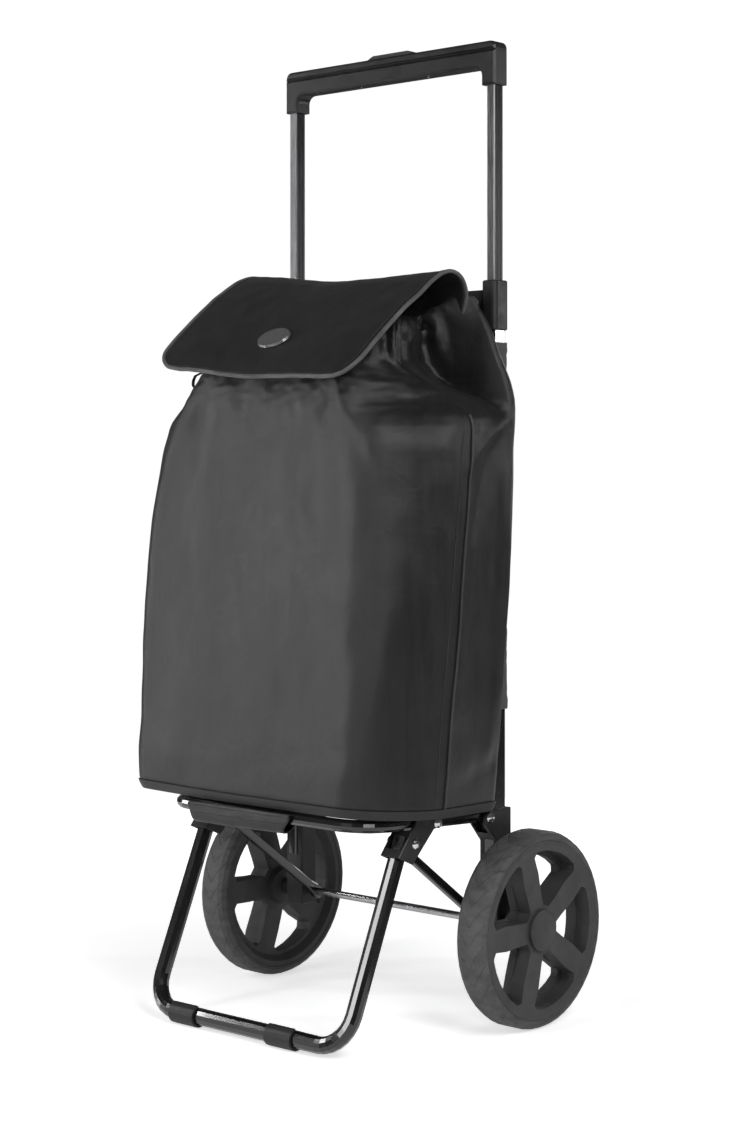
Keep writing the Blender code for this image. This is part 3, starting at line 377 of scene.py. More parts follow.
def anodised():
    """Extruded aluminium: fine lines along the tube, two shallow grooves in each broad side, and painted
    shade that darkens both broad sides.
    """
    made, tree, shader, place = fresh("anodised_tube", metallic=1.0)
    split = node(tree, "ShaderNodeSeparateXYZ", {"Vector": place})
    lines = noise_of(tree, place, 60.0, 4.0, 0.6, stretch=(30.0, 30.0, 0.5))
    off = away(tree, split.outputs[1], UPRIGHT_Y)
    groove = between(tree, away(tree, off, 0.0024), 1.0, 0.0, 0.0004, 0.0009)
    # Painted shade: the broad sides, which face across the tube, are made far darker than its front and back.
    side = between(tree, off, 1.0, 0.0, 0.0050, 0.0066)
    tone = maths(tree, "SUBTRACT", lines, times(tree, side, 0.55))
    colour = shades(tree, tone, (0.020, 0.020, 0.021), (0.27, 0.27, 0.275), -0.2, 0.75)
    link(tree, colour, shader, "Base Color")
    link(tree, between(tree, lines, 0.26, 0.40), shader, "Roughness")
    ruled = bumped(tree, lines, 0.00006, 0.4)
    link(tree, bumped(tree, times(tree, groove, -1.0), 0.0006, 0.9, ruled), shader, "Normal")
    return made


def steel(name, colour, roughness):
    """Bright steel with fine marks round it."""
    made, tree, shader, place = fresh(name, metallic=1.0)
    marks = noise_of(tree, place, 160.0, 4.0, 0.6)
    dull = tuple(0.8 * c for c in colour)
    link(tree, shades(tree, marks, dull, colour), shader, "Base Color")
    link(tree, between(tree, marks, *roughness), shader, "Roughness")
    brushed = noise_of(tree, place, 900.0, 2.0, stretch=(0.1, 1.0, 1.0))
    link(tree, bumped(tree, brushed, 0.00002, 0.5), shader, "Normal")
    return made


def braid():
    """Woven tape round a cord, as the flap's piping."""
    constants = {"specular_ior_level": 0.4, "sheen_weight": 0.25, "sheen_roughness": 0.4}
    made, tree, shader, place = fresh("piping_tape", **constants)
    split = node(tree, "ShaderNodeSeparateXYZ", {"Vector": place})
    total = plus(tree, plus(tree, split.outputs[0], split.outputs[1]), split.outputs[2])
    twill = wave(tree, total, 0.0012)
    tone = plus(tree, noise_of(tree, place, 45.0, 4.0), times(tree, twill, 0.05))
    link(tree, shades(tree, tone, (0.060, 0.060, 0.063), (0.125, 0.125, 0.13)), shader, "Base Color")
    link(tree, between(tree, noise_of(tree, place, 80.0), 0.42, 0.60), shader, "Roughness")
    link(tree, bumped(tree, twill, 0.00012, 0.7), shader, "Normal")
    return made


def badge_satin():
    """Satin metal with a very fine grain."""
    made, tree, shader, place = fresh("badge_satin", metallic=0.55)
    fine = noise_of(tree, place, 500.0, 2.0)
    link(tree, shades(tree, fine, (0.15, 0.15, 0.155), (0.25, 0.25, 0.255)), shader, "Base Color")
    link(tree, between(tree, noise_of(tree, place, 70.0), 0.28, 0.42), shader, "Roughness")
    link(tree, bumped(tree, fine, 0.00006, 0.6), shader, "Normal")
    return made


def greys(dark, light, dark_tint=0.0, light_tint=0.0):
    """A dark and a light grey, each with its own little tint of blue."""
    return (dark, dark, dark + dark_tint), (light, light, light + light_tint)


MATERIALS = {
    "bag": nylon("bag_nylon", *greys(0.008, 0.015, 0.0003, 0.0005), roughness=(0.33, 0.42)),
    "flap": nylon("flap_nylon", *greys(0.008, 0.014, 0.0005, 0.0005), roughness=(0.40, 0.52), crumple=0.0008),
    "binding": nylon("binding_tape", *greys(0.014, 0.026, 0.001, 0.001), crumple=0.0004),
    "sleeve": nylon("sleeve_nylon", *greys(0.050, 0.085, 0.002, 0.003), crumple=0.0014),
    "thread": nylon("thread", *greys(0.030, 0.060, 0.001, 0.002), crumple=0.0002),
    "piping": braid(),
    "dark_piping": nylon("dark_piping", *greys(0.030, 0.055, 0.001, 0.002), crumple=0.0003),
    "paint": gloss_paint(),
    "plastic": moulded("bracket_plastic", *greys(0.016, 0.027, 0.001, 0.001)),
    "grip": moulded("grip_plastic_fine", *greys(0.013, 0.022, 0.001, 0.001), roughness=(0.30, 0.42)),
    "button": moulded("button_plastic_fine", *greys(0.030, 0.045, 0.002, 0.002)),
    "wheel": moulded(
        "wheel_plastic_fine", *greys(0.050, 0.072, 0.001, 0.002), roughness=(0.48, 0.62), shine=0.30,
    ),
    "board": moulded("board_plastic_fine", *greys(0.04, 0.06), roughness=(0.5, 0.65)),
    "rubber": tyre_rubber(),
    "tube": anodised(),
    "chrome": steel("rivet_chrome", (0.82, 0.82, 0.82), (0.08, 0.16)),
    "axle": steel("axle_steel", (0.66, 0.66, 0.67), (0.18, 0.30)),
    "badge": badge_satin(),
}

NODE_MATERIALS = {
    "paint": ("upright", "platform_tube", "leg_tube", "strut"),
    "plastic": ("yoke", "lower_bracket", "wheel_bush", "zip_", "lock_plug", "leg_bracket", "foot_clip"),
    "chrome": ("platform_pin", "leg_pin", "leg_rivet", "grip_screw"),
    "axle": ("axle_rod", "release_rods", "lock_pin"),
    "tube": ("handle_tube",),
    "grip": ("grip_lower", "grip_cover"),
    "button": ("release_button",),
    "rubber": ("tyre",),
    "wheel": ("rim", "hub_cap"),
    "badge": ("badge",),
    "board": ("base_board",),
}


def paint_frame(nodes):
    """Gives every CAD node that shows its material."""
    for name, obj in nodes.items():
        for key, starts in NODE_MATERIALS.items():
            if name.startswith(starts):
                obj.data.materials.clear()
                obj.data.materials.append(MATERIALS[key])


def dressed(obj, key):
    obj.data.materials.clear()
    obj.data.materials.append(MATERIALS[key])
    return obj


# Bag

# Height; half width of the flat front and its y; front ridge of the side; bottom of the side's infold;
# rear edge of the side; radius of the rear corner; y of the back. Every y is measured from the axle.
BAG_KEYS = np.array([
    (0.2300, 0.1275, -0.2070, 0.1700, -0.1280, 0.1600, -0.0570, 0.1580, -0.0405, 0.020, -0.0205),
    (0.2400, 0.1290, -0.2110, 0.1745, -0.1270, 0.1645, -0.0560, 0.1620, -0.0395, 0.020, -0.0195),
    (0.2700, 0.1280, -0.2125, 0.1775, -0.1260, 0.1670, -0.0560, 0.1650, -0.0395, 0.020, -0.0195),
    (0.3300, 0.1270, -0.2095, 0.1810, -0.1230, 0.1715, -0.0560, 0.1710, -0.0395, 0.020, -0.0195),
    (0.4500, 0.1280, -0.2015, 0.1860, -0.1150, 0.1795, -0.0560, 0.1810, -0.0395, 0.020, -0.0195),
    (0.5600, 0.1300, -0.1930, 0.1885, -0.1060, 0.1835, -0.0540, 0.1850, -0.0380, 0.016, -0.0195),
    (0.5900, 0.1290, -0.1910, 0.1895, -0.1030, 0.1825, -0.0500, 0.1840, -0.0365, 0.012, -0.0195),
    (0.6100, 0.1240, -0.1905, 0.1890, -0.1010, 0.1815, -0.0460, 0.1835, -0.0350, 0.008, -0.0195),
    (0.6200, 0.1180, -0.1900, 0.1865, -0.1010, 0.1805, -0.0430, 0.1835, -0.0345, 0.006, -0.0200),
    (0.6300, 0.1100, -0.1898, 0.1770, -0.1060, 0.1740, -0.0410, 0.1830, -0.0340, 0.005, -0.0203),
    (0.6380, 0.1040, -0.1893, 0.1675, -0.1110, 0.1580, -0.0430, 0.1820, -0.0335, 0.004, -0.0206),
    (0.6460, 0.0985, -0.1885, 0.1580, -0.1160, 0.1340, -0.0460, 0.1805, -0.0325, 0.004, -0.0212),
    (0.6540, 0.0940, -0.1875, 0.1480, -0.1210, 0.1120, -0.0490, 0.1785, -0.0318, 0.004, -0.0217),
    (0.6620, 0.0900, -0.1858, 0.1370, -0.1270, 0.1000, -0.0520, 0.1755, -0.0312, 0.004, -0.0222),
    (0.6760, 0.0830, -0.1800, 0.1225, -0.1355, 0.0920, -0.0580, 0.1690, -0.0310, 0.004, -0.0235),
    (0.6950, 0.0780, -0.1690, 0.1200, -0.1360, 0.0900, -0.0600, 0.1560, -0.0315, 0.004, -0.0250),
    (0.7120, 0.0740, -0.1560, 0.1190, -0.1330, 0.0920, -0.0620, 0.1400, -0.0325, 0.004, -0.0270),
])
SPANS = {"front": 44, "corner": 22, "panel": 26, "gusset": 14, "back_corner": 8, "back": 36}


def bag_section(height):
    """The bag's measures at a height."""
    return [float(np.interp(height, BAG_KEYS[:, 0], BAG_KEYS[:, i])) for i in range(1, 11)]


def half_outline(section, height, left):
    """Half of the bag's plan outline, from the middle of its front to the middle of its back.

    The left front corner is squarer and stands out more, and the left part of the front turns back a little.
    """
    flat, front, ridge_x, ridge_y, fold_x, fold_y, edge_x, edge_y, corner, back = section
    squareness = 2.1
    turned = 0.0
    if left:
        turned = 0.10 * float(smoothstep(np.float64(0.66 - height), 0.0, 0.10))
        squareness += 4.5 * float(smoothstep(np.float64(0.64 - height), 0.0, 0.20))
        out = 0.012 * float(smoothstep(np.float64(0.64 - height), 0.0, 0.06))
        out += 0.009 * float(smoothstep(np.float64(0.60 - height), 0.0, 0.35))
        out += 0.006 * float(smoothstep(np.float64(0.33 - height), 0.0, 0.10))
        flat, ridge_x = flat + 0.6 * out, ridge_x + out
    else:
        flat *= 0.78 + 0.22 * float(smoothstep(np.float64(height), 0.58, 0.68))
        squareness -= 0.85 * float(smoothstep(np.float64(height), 0.585, 0.640))

    def front_y(x):
        beyond = x - 0.060
        return front + turned * 0.5 * (beyond + math.hypot(beyond, 0.018))

    half = [(t * flat, front_y(t * flat)) for t in np.linspace(0, 1, SPANS["front"] // 2, endpoint=False)]
    start_y = front_y(flat)
    for a in np.linspace(0, math.pi / 2, SPANS["corner"], endpoint=False):
        share = math.sin(a) ** (2 / squareness)
        y = ridge_y - (ridge_y - start_y) * math.cos(a) ** (2 / squareness)
        half.append((flat + (ridge_x - flat) * share, y + turned * (ridge_x - flat) * share * math.cos(a)))
    for t in np.linspace(0, 1, SPANS["panel"], endpoint=False):
        half.append((ridge_x + (fold_x - ridge_x) * t, ridge_y + (fold_y - ridge_y) * t))
    for t in np.linspace(0, 1, SPANS["gusset"], endpoint=False):
        half.append((fold_x + (edge_x - fold_x) * t, fold_y + (edge_y - fold_y) * t))
    reach = back - edge_y
    for a in np.linspace(0, math.pi / 2, SPANS["back_corner"], endpoint=False):
        half.append((edge_x - corner + corner * math.cos(a), edge_y + reach * math.sin(a)))
    half += [((1 - t) * (edge_x - corner), back) for t in np.linspace(0, 1, SPANS["back"] // 2 + 1)]
    half = np.array(half)
    first = SPANS["front"] // 2 + SPANS["corner"] + SPANS["panel"]
    for _ in range(2):
        half[first - 6 : first + 6] = (
            half[first - 7 : first + 5] + 2 * half[first - 6 : first + 6] + half[first - 5 : first + 7]
        ) / 4
    half[:, 1] += AXLE_Y
    return half


def bag_outline(height):
    """Plan outline of the bag, starting at the middle of its front and going round by +X."""
    section = bag_section(height)
    right, left = half_outline(section, height, False), half_outline(section, height, True)
    return np.concatenate([right, left[1:-1][::-1] * (-1, 1)])


def fold(x, z, centre, angle, length, width, height):
    """A soft ridge, or with a negative height a valley, on an unrolled panel."""
    a = math.radians(angle)
    dx, dz = x - centre[0], z - centre[1]
    along, over = dx * math.cos(a) + dz * math.sin(a), -dx * math.sin(a) + dz * math.cos(a)
    return height * np.exp(-((along / length) ** 2) - (over / width) ** 2)


# Centre (x, z), angle, length, width and height of the soft folds in the front panel
FRONT_FOLDS = (
    ((-0.135, 0.620), 62, 0.055, 0.012, 0.0045),
    ((-0.108, 0.600), 78, 0.060, 0.014, -0.0035),
    ((-0.070, 0.630), 100, 0.050, 0.020, 0.0030),
    ((0.015, 0.640), 112, 0.040, 0.018, -0.0030),
    ((0.062, 0.640), 70, 0.045, 0.016, 0.0025),
    ((0.105, 0.628), 122, 0.050, 0.010, 0.0040),
    ((0.120, 0.590), 110, 0.050, 0.014, -0.0030),
    ((-0.150, 0.520), 85, 0.110, 0.020, -0.0030),
    ((-0.060, 0.430), 92, 0.130, 0.045, 0.0030),
    ((0.060, 0.380), 88, 0.120, 0.050, -0.0025),
    ((0.125, 0.300), 80, 0.080, 0.020, 0.0025),
    ((-0.120, 0.290), 70, 0.070, 0.022, 0.0025),
    ((-0.020, 0.265), 15, 0.090, 0.012, -0.0015),
)
# The same for the side panels, with x measured backwards from the axle's y
SIDE_FOLDS = (
    ((-0.060, 0.605), 35, 0.050, 0.008, 0.0045),
    ((-0.075, 0.560), 70, 0.060, 0.012, -0.0040),
    ((-0.045, 0.520), 95, 0.080, 0.010, 0.0040),
    ((-0.085, 0.430), 88, 0.120, 0.016, -0.0030),
    ((-0.040, 0.360), 80, 0.090, 0.012, 0.0030),
    ((-0.100, 0.330), 100, 0.080, 0.014, 0.0025),
    ((-0.060, 0.270), 20, 0.060, 0.010, -0.0020),
)


def bag_surface():
    """Rows of points on the bag's outer side, from its bottom edge up to the mouth, with sags and folds."""
    heights = np.concatenate([
        np.arange(0.2300, 0.2480, 0.0030), np.arange(0.2480, 0.602, 0.0062), np.arange(0.602, 0.6280, 0.0032),
        np.arange(0.6280, 0.6640, 0.0013), np.arange(0.6640, 0.7121, 0.0030),
    ])
    rows = np.array([np.c_[bag_outline(h), np.full(len(bag_outline(h)), h)] for h in heights])
    count = rows.shape[1]
    tangent = np.roll(rows, -1, 1) - np.roll(rows, 1, 1)
    normal = np.stack([tangent[..., 1], -tangent[..., 0], np.zeros(rows.shape[:2])], axis=-1)
    normal /= np.linalg.norm(normal, axis=-1)[..., None]
    x, y, z = rows[..., 0], rows[..., 1], rows[..., 2]
    facing_front = np.clip(-normal[..., 1], 0, 1) ** 2
    facing_side = np.clip(np.abs(normal[..., 0]), 0, 1) ** 2
    push = np.zeros(rows.shape[:2])
    for centre, angle, length, width, height in FRONT_FOLDS:
        push += facing_front * fold(x, z, centre, angle, length, width, height)
    for centre, angle, length, width, height in SIDE_FOLDS:
        mirrored = np.where(x < 0, 0.012, 0.0)
        push += facing_side * fold(y - AXLE_Y + mirrored, z, centre, angle, length, width, height)
    spots = rows.reshape(-1, 3)
    wave = soft_noise(spots * (1, 1, 0.55), 17.0, 1).reshape(push.shape)
    small = soft_noise(spots * (1, 1, 0.7), 52.0, 2).reshape(push.shape)
    crease = soft_noise(spots * (1, 1, 1.3), 110.0, 3).reshape(push.shape)
    free = smoothstep(z, 0.236, 0.275)
    back = np.clip(normal[..., 1], 0, 1)
    soft = free * (1 - 0.85 * back)
    push = push * soft + soft * (0.0022 * wave + 0.0008 * small)
    upper = smoothstep(z, 0.58, 0.66)
    push += soft * upper * (0.0012 * small + 0.0009 * crease)
    # Pleats that the drawn mouth pulls into the cloth.
    around = np.linspace(0, 2 * math.pi, count, endpoint=False)[None, :]
    circle = 0.05 * np.c_[np.cos(around[0]), np.sin(around[0]), np.zeros(count)]
    drift = 1.4 * soft_noise(circle, 60.0, 4)[None, :]
    pleat = np.sin(34 * around + 3 * drift + 14 * (z - 0.7)) * (0.65 + 0.35 * np.sin(7 * around + drift))
    near_back = smoothstep(y, AXLE_Y - 0.060, AXLE_Y - 0.038)
    drawn = smoothstep(z, 0.652, 0.705) * (1 - near_back)
    push += drawn * (0.0036 * pleat + 0.0034 * soft_noise(spots, 75.0, 7).reshape(push.shape))
    push *= 1 - 0.7 * near_back * upper
    rows = rows + normal * push[..., None]
    rows[..., 2] += 0.022 * near_back * smoothstep(z, 0.672, 0.7125)
    settle = np.clip(1 - (z - BAG_BOTTOM_Z) / 0.10, 0, 1)
    rows[..., 2] += settle * (platform_height(rows[..., 1]) + BAG_REST - BAG_BOTTOM_Z)
    return rows


# How far in, how high and how deeply pleated each ring of the gathered hem is
MOUTH_RINGS = (
    (0.003, 0.0055, 0.0030), (0.009, 0.0095, 0.0042), (0.017, 0.0085, 0.0052),
    (0.024, 0.0030, 0.0050), (0.028, -0.0060, 0.0040), (0.030, -0.0160, 0.0030),
)


def bag_mouth(rows):
    """The hem that turns in above the mouth, gathered on its cord."""
    top = rows[-1]
    centre = top.mean(axis=0)
    count = len(top)
    angle = np.linspace(0, 2 * math.pi, count, endpoint=False)
    rings = []
    for inset, rise, pleat in MOUTH_RINGS:
        out = top - centre
        out[:, 2] = 0
        size = np.linalg.norm(out, axis=1)[:, None]
        ripple = pleat * np.sin(41 * angle + 2.2 * np.sin(5 * angle) + 60 * inset)
        lift = rise + 0.5 * pleat * np.cos(29 * angle + 80 * inset)
        ring = top - out / size * (inset + ripple)[:, None]
        ring[:, 2] = top[:, 2] + lift
        rings.append(ring)
    return np.array(rings)


def bag_bottom(rows):
    """Rings that close the bag's bottom, flat on the platform."""
    edge = rows[0]
    middle = edge.mean(axis=0)
    rings = []
    for share in (0.97, 0.85, 0.6, 0.3):
        ring = middle + (edge - middle) * share
        ring[:, 2] = platform_height(ring[:, 1]) + BAG_REST
        rings.append(ring)
    return np.array(rings[::-1])


def make_bag():
    """The bag's cloth as one shell, and the rows of points on its outer side for its trim."""
    sides = bag_surface()
    rings = np.concatenate([bag_bottom(sides), sides, bag_mouth(sides)])
    count = rings.shape[1]
    faces = grid_faces(len(rings), count, wrap=True)
    faces.append(tuple(range(count))[::-1])
    bag = mesh_object("bag", rings.reshape(-1, 3), faces, 80)
    thicken(bag, BAG_CLOTH, -1)
    dressed(bag, "bag")
    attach(bag, "frame")
    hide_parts("bag_upper", "bag_lower")
    return bag, sides


def seam_line(sides, side, shift=0):
    """Line down the seam between the front panel and a side panel, or beside it by some columns."""
    column = SPANS["front"] // 2 + SPANS["corner"] + shift
    path = []
    for row in sides[2:]:
        if row[:, 2].mean() > SEAM_TOP:
            break
        path.append(row[column] if side > 0 else row[-column])
    path = np.array(path)
    path[1:-1] = (path[:-2] + 2 * path[1:-1] + path[2:]) / 4
    return path


def make_bag_trim(sides):
    """Piping and two rows of stitches at each front seam, and the bottom binding."""
    pieces = []
    for side, word in ((-1, "left"), (1, "right")):
        path = seam_line(sides, side)
        path[:, 0] += side * 0.0007
        piping = tube_object(f"seam_piping_{word}", path, 0.0013, sides=8)
        pieces.append(dressed(piping, "dark_piping"))
        for shift in (-2, 1):
            line = seam_line(sides, side, shift)
            normals = np.tile((side * 0.95, -0.3 if shift < 0 else 0.0, 0.0), (len(line), 1))
            sewn = stitches(f"seam_stitches_{word}_{'front' if shift < 0 else 'side'}", line, normals)
            pieces.append(dressed(sewn, "thread"))
    pieces.append(make_binding(sides))
    for piece in pieces:
        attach(piece, "frame")
    return pieces


def make_binding(sides):
    """Bound edge round the bottom of the bag."""
    profile = ((0, 0.0002), (0, 0.0016), (1, 0.0021), (2, 0.0021), (3, 0.0017), (3, 0.0003))
    rings = []
    for row, out in profile:
        ring = sides[row].copy()
        tangent = np.roll(ring, -1, 0) - np.roll(ring, 1, 0)
        normal = np.stack([tangent[:, 1], -tangent[:, 0], np.zeros(len(ring))], axis=1)
        normal /= np.linalg.norm(normal, axis=1)[:, None]
        rings.append(ring + normal * out)
    rings = np.array(rings)
    count = rings.shape[1]
    faces = grid_faces(len(rings), count, wrap=True)
    last = (len(rings) - 1) * count
    faces += [(last + c, last + (c + 1) % count, (c + 1) % count, c) for c in range(count)]
    binding = outward(mesh_object("bottom_binding", rings.reshape(-1, 3), faces, 50))
    return dressed(binding, "binding")


# Sleeves, rear pocket, front loop and tab


def rounded_ring(half_x, half_y, radius, steps=6):
    """Outline of a rectangle with round corners."""
    ring = []
    for quarter, (sx, sy) in enumerate(((1, 1), (-1, 1), (-1, -1), (1, -1))):
        centre_x, centre_y = sx * (half_x - radius), sy * (half_y - radius)
        for i in range(steps + 1):
            a = math.pi / 2 * (quarter + i / steps)
            ring.append((centre_x + radius * math.cos(a), centre_y + radius * math.sin(a)))
    return np.array(ring)


def closed_shell(name, outer, inner, angle=60):
    """A wall between an outer and an inner stack of rings, closed at both ends of the stacks."""
    rings = np.concatenate([outer, inner[::-1], outer[:1]])
    count = outer.shape[1]
    faces = grid_faces(len(rings), count, wrap=True)
    return outward(mesh_object(name, rings.reshape(-1, 3), faces, angle), merged=True)


def make_sleeve(side, word):
    """Fabric channel round an upright, a little slack and creased, with a hem at each end."""
    low, high = SLEEVE_Z
    heights = np.concatenate([
        np.linspace(low, low + 0.006, 4),
        np.linspace(low + 0.009, high - 0.009, 110),
        np.linspace(high - 0.006, high, 4),
    ])
    middle = np.array((side * UPRIGHT_X, UPRIGHT_Y))
    narrowing = (SLEEVE_BORE[0] / SLEEVE_HALF[0], SLEEVE_BORE[1] / SLEEVE_HALF[1])
    outer, inner = [], []
    for z in heights:
        hem = 0.0005 if z < low + SLEEVE_HEM or z > high - SLEEVE_HEM else 0.0
        ring = rounded_ring(SLEEVE_HALF[0] + hem, SLEEVE_HALF[1] + hem, 0.0036)
        spots = np.c_[ring + middle, np.full(len(ring), z)]
        slack = 0.0008 * soft_noise(spots, 60.0, 8 + side) + 0.0005 * soft_noise(spots * (1, 1, 2.5), 90.0, 9)
        slack = np.clip(slack + 0.0002, -0.0002, 0.0012)
        out = ring / np.linalg.norm(ring, axis=1)[:, None]
        outer.append(np.c_[ring + out * slack[:, None] + middle, spots[:, 2]])
        inner.append(np.c_[ring * narrowing + middle, spots[:, 2]])
    sleeve = closed_shell(f"sleeve_{word}", np.array(outer), np.array(inner))
    dressed(sleeve, "sleeve")
    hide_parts(f"tube_sleeve_{word}")
    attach(sleeve, "frame")
    return sleeve


def make_pocket():
    """Soft box pocket behind the bag, open towards it, with a bulged face and a stitched edge."""
    centre_z, half_z = (POCKET_Z[0] + POCKET_Z[1]) / 2, (POCKET_Z[1] - POCKET_Z[0]) / 2
    plan = rounded_ring(POCKET_HALF_WIDTH, half_z, 0.012, 5)
    plan = resampled(np.c_[np.vstack([plan, plan[:1]]), np.zeros(len(plan) + 1)], 0.006)[:-1, :2]
    z = centre_z + plan[:, 1]
    # The open side leans back below, clear of the base board when the platform is folded.
    front = np.maximum(AXLE_Y - 0.0180, AXLE_Y - 0.0100 - 0.0387 * (z - PLATFORM_PIVOT[1]))

    def ring(scale, depth, bulge):
        x, height = plan[:, 0] * scale, centre_z + plan[:, 1] * scale
        y = front + (POCKET_BACK_Y - front) * depth + bulge * (1 - scale**2)
        spots = np.c_[x, y, height]
        spots[:, 1] += (0.0012 * soft_noise(spots, 18.0, 11) + 0.0006 * soft_noise(spots, 60.0, 12)) * depth
        return spots

    walls = [
        (1.0, 0.0), (1.002, 0.15), (1.003, 0.4), (1.003, 0.65), (1.0, 0.82), (0.993, 0.92), (0.978, 0.97),
    ]
    outer = [ring(scale, depth, 0.0) for scale, depth in walls]
    outer += [ring(scale, 0.975, 0.0035) for scale in np.linspace(0.94, 0.02, 30)]
    outer = np.array(outer)
    inner = outer.copy()
    around = inner[: len(walls)]
    around[..., 0] -= BAG_CLOTH * np.sign(around[..., 0])
    around[..., 2] -= BAG_CLOTH * np.sign(around[..., 2] - centre_z)
    inner[4:, :, 1] -= BAG_CLOTH
    rings = np.concatenate([outer[::-1], inner])
    count = outer.shape[1]
    faces = grid_faces(len(rings), count, wrap=True)
    last = (len(rings) - 1) * count
    faces += [tuple(range(count))[::-1], tuple(range(last, last + count))]
    pocket = outward(mesh_object("pocket", rings.reshape(-1, 3), faces, 70))
    dressed(pocket, "bag")
    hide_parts("rear_pocket")
    edge = outer[len(walls) - 1].copy()
    edge[:, 1] += 0.0009
    trim = dressed(tube_object("pocket_piping", edge, 0.0012, closed=True), "dark_piping")
    inside = np.vstack([outer[9], outer[9][:1]])
    inside[:, 1] += 0.0001
    backwards = np.tile((0, 1.0, 0), (len(inside), 1))
    sewn = dressed(stitches("pocket_stitches", inside, backwards), "thread")
    for piece in (pocket, trim, sewn):
        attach(piece, "frame")
    return [pocket, trim, sewn]


def make_loop():
    """Fabric loop that hangs from the front of the bag's bottom and goes round the platform's front tube."""
    y, z = PLATFORM_FRONT_Y, platform_height(PLATFORM_FRONT_Y)
    shape = np.array([
        (-0.0100, 0.0052), (-0.0106, -0.0010), (-0.0104, -0.0080), (-0.0086, -0.0132), (-0.0040, -0.0158),
        (0.0030, -0.0156), (0.0080, -0.0120), (0.0098, -0.0050), (0.0098, 0.0010), (0.0092, 0.0054),
    ])
    path = resampled(np.c_[np.zeros(len(shape)), shape], 0.0012)[:, 1:]
    for _ in range(6):
        path[1:-1] = (path[:-2] + 2 * path[1:-1] + path[2:]) / 4
    share = np.linspace(0, 1, len(path))
    drop = np.clip(-path[:, 1] / LOOP_DROP, 0, 1)
    rows = []
    for t in np.linspace(0, 1, 70):
        x = -0.0950 + 0.0040 * drop + t * (0.1430 - 0.0150 * drop - 0.0060 * share)
        spots = np.c_[x, path[:, 0] + y, path[:, 1] + z]
        wave = 0.0007 * soft_noise(spots, 45.0, 13) + 0.0004 * np.sin(40 * x + 9 * share)
        spots[:, 1] -= wave * np.where(path[:, 0] < 0, 1, -1)
        spots[:, 2] += 0.0006 * drop * np.sin(26 * x)
        rows.append(spots)
    rows = np.array(rows)
    loop = mesh_object("loop", rows.reshape(-1, 3), grid_faces(*rows.shape[:2]), 70)
    thicken(loop, 0.0015, 0)
    dressed(loop, "bag")
    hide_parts("front_loop")
    pieces = [loop]
    for number, column in enumerate((3, 9)):
        line = rows[:, column].copy()
        line[:, 1] -= 0.0009
        sewn = stitches(f"loop_stitches_{number}", line, np.tile((0, -1.0, 0), (len(line), 1)))
        pieces.append(dressed(sewn, "thread"))
    for piece in pieces:
        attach(piece, "platform")
    return pieces


def make_tab():
    """Small folded tape that sticks out from the left seam under the flap."""
    path = [(-0.125, AXLE_Y - 0.168, 0.669), (-0.131, AXLE_Y - 0.171, 0.666), (-0.133, AXLE_Y - 0.172, 0.661)]
    path += [(-0.1335, AXLE_Y - 0.172, 0.656), (-0.131, AXLE_Y - 0.170, 0.652)]
    path += [(-0.125, AXLE_Y - 0.166, 0.652)]
    shape = {"sides": 12, "flatten": 0.20, "up": (0.4, -0.9, 0)}
    tab = tube_object("side_tab", resampled(path, 0.0015), 0.0040, **shape)
    dressed(tab, "binding")
    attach(tab, "frame")
    return tab


# Flap

# Side view of the lid from its lower edge behind the bag, over the crest, to its front edge
FLAP_PROFILE = np.array([
    (-0.0400, 0.7240), (-0.0402, 0.7330), (-0.0412, 0.7420), (-0.0440, 0.7510), (-0.0510, 0.7600),
    (-0.0600, 0.7652), (-0.0710, 0.7674), (-0.0860, 0.7658), (-0.1020, 0.7600), (-0.1330, 0.7415),
    (-0.1620, 0.7195), (-0.1920, 0.6950), (-0.2100, 0.6785), (-0.2235, 0.6620),
])


def smooth_profile(points, count):
    """Evenly spaced points on a smooth curve through the given ones, as (y, z, distance)."""
    steps = np.r_[0, np.cumsum(np.linalg.norm(np.diff(points, axis=0), axis=1))]
    wanted = np.linspace(0, steps[-1], 400)
    curve = np.stack([np.interp(wanted, steps, points[:, i]) for i in range(2)], axis=1)
    kernel = np.hanning(35) / np.hanning(35).sum()
    padded = np.concatenate([2 * curve[0] - curve[17:0:-1], curve, 2 * curve[-1] - curve[-2:-19:-1]])
    curve = np.stack([np.convolve(padded[:, i], kernel, "valid") for i in range(2)], axis=1)
    steps = np.r_[0, np.cumsum(np.linalg.norm(np.diff(curve, axis=0), axis=1))]
    wanted = np.linspace(0, steps[-1], count)
    return np.stack([np.interp(wanted, steps, curve[:, i]) for i in range(2)], axis=1), wanted


def flap_half(distance, total):
    """Half of the lid's width at a distance along it, with its round front corners."""
    into = distance - (total - FLAP_CORNER)
    straight = np.interp(distance, (0.0, 0.02, 0.04), (0.1260, 0.1330, FLAP_HALF_WIDTH))
    arc = np.sqrt(np.clip(FLAP_CORNER**2 - np.clip(into, 0, FLAP_CORNER) ** 2, 0, None))
    return np.where(into > 0, straight - FLAP_CORNER + arc, straight)


def flap_shape(x, y, z, distance):
    """How the cloth of the lid hangs: it leans to one side, droops at its edges and ripples a little."""
    across = x / FLAP_HALF_WIDTH
    free = smoothstep(distance, 0.05, 0.12)
    lift = -0.0048 * across * free - 0.0030 * np.abs(across) ** 3 * free
    lift += 0.0007 * free * np.sin(5 * across + 18 * distance)
    spots = np.stack([x, y, z], axis=-1).reshape(-1, 3)
    lift += free * 0.0009 * soft_noise(spots, 16.0, 5).reshape(x.shape)
    lift += 0.0005 * soft_noise(spots, 70.0, 6).reshape(x.shape)
    dip = 0.0022 * np.cos(math.pi * across) * (1 - free)
    left = smoothstep(-across, 0.05, 1.0) * smoothstep(distance, 0.02, 0.07)
    return z + lift - dip + 0.0075 * left


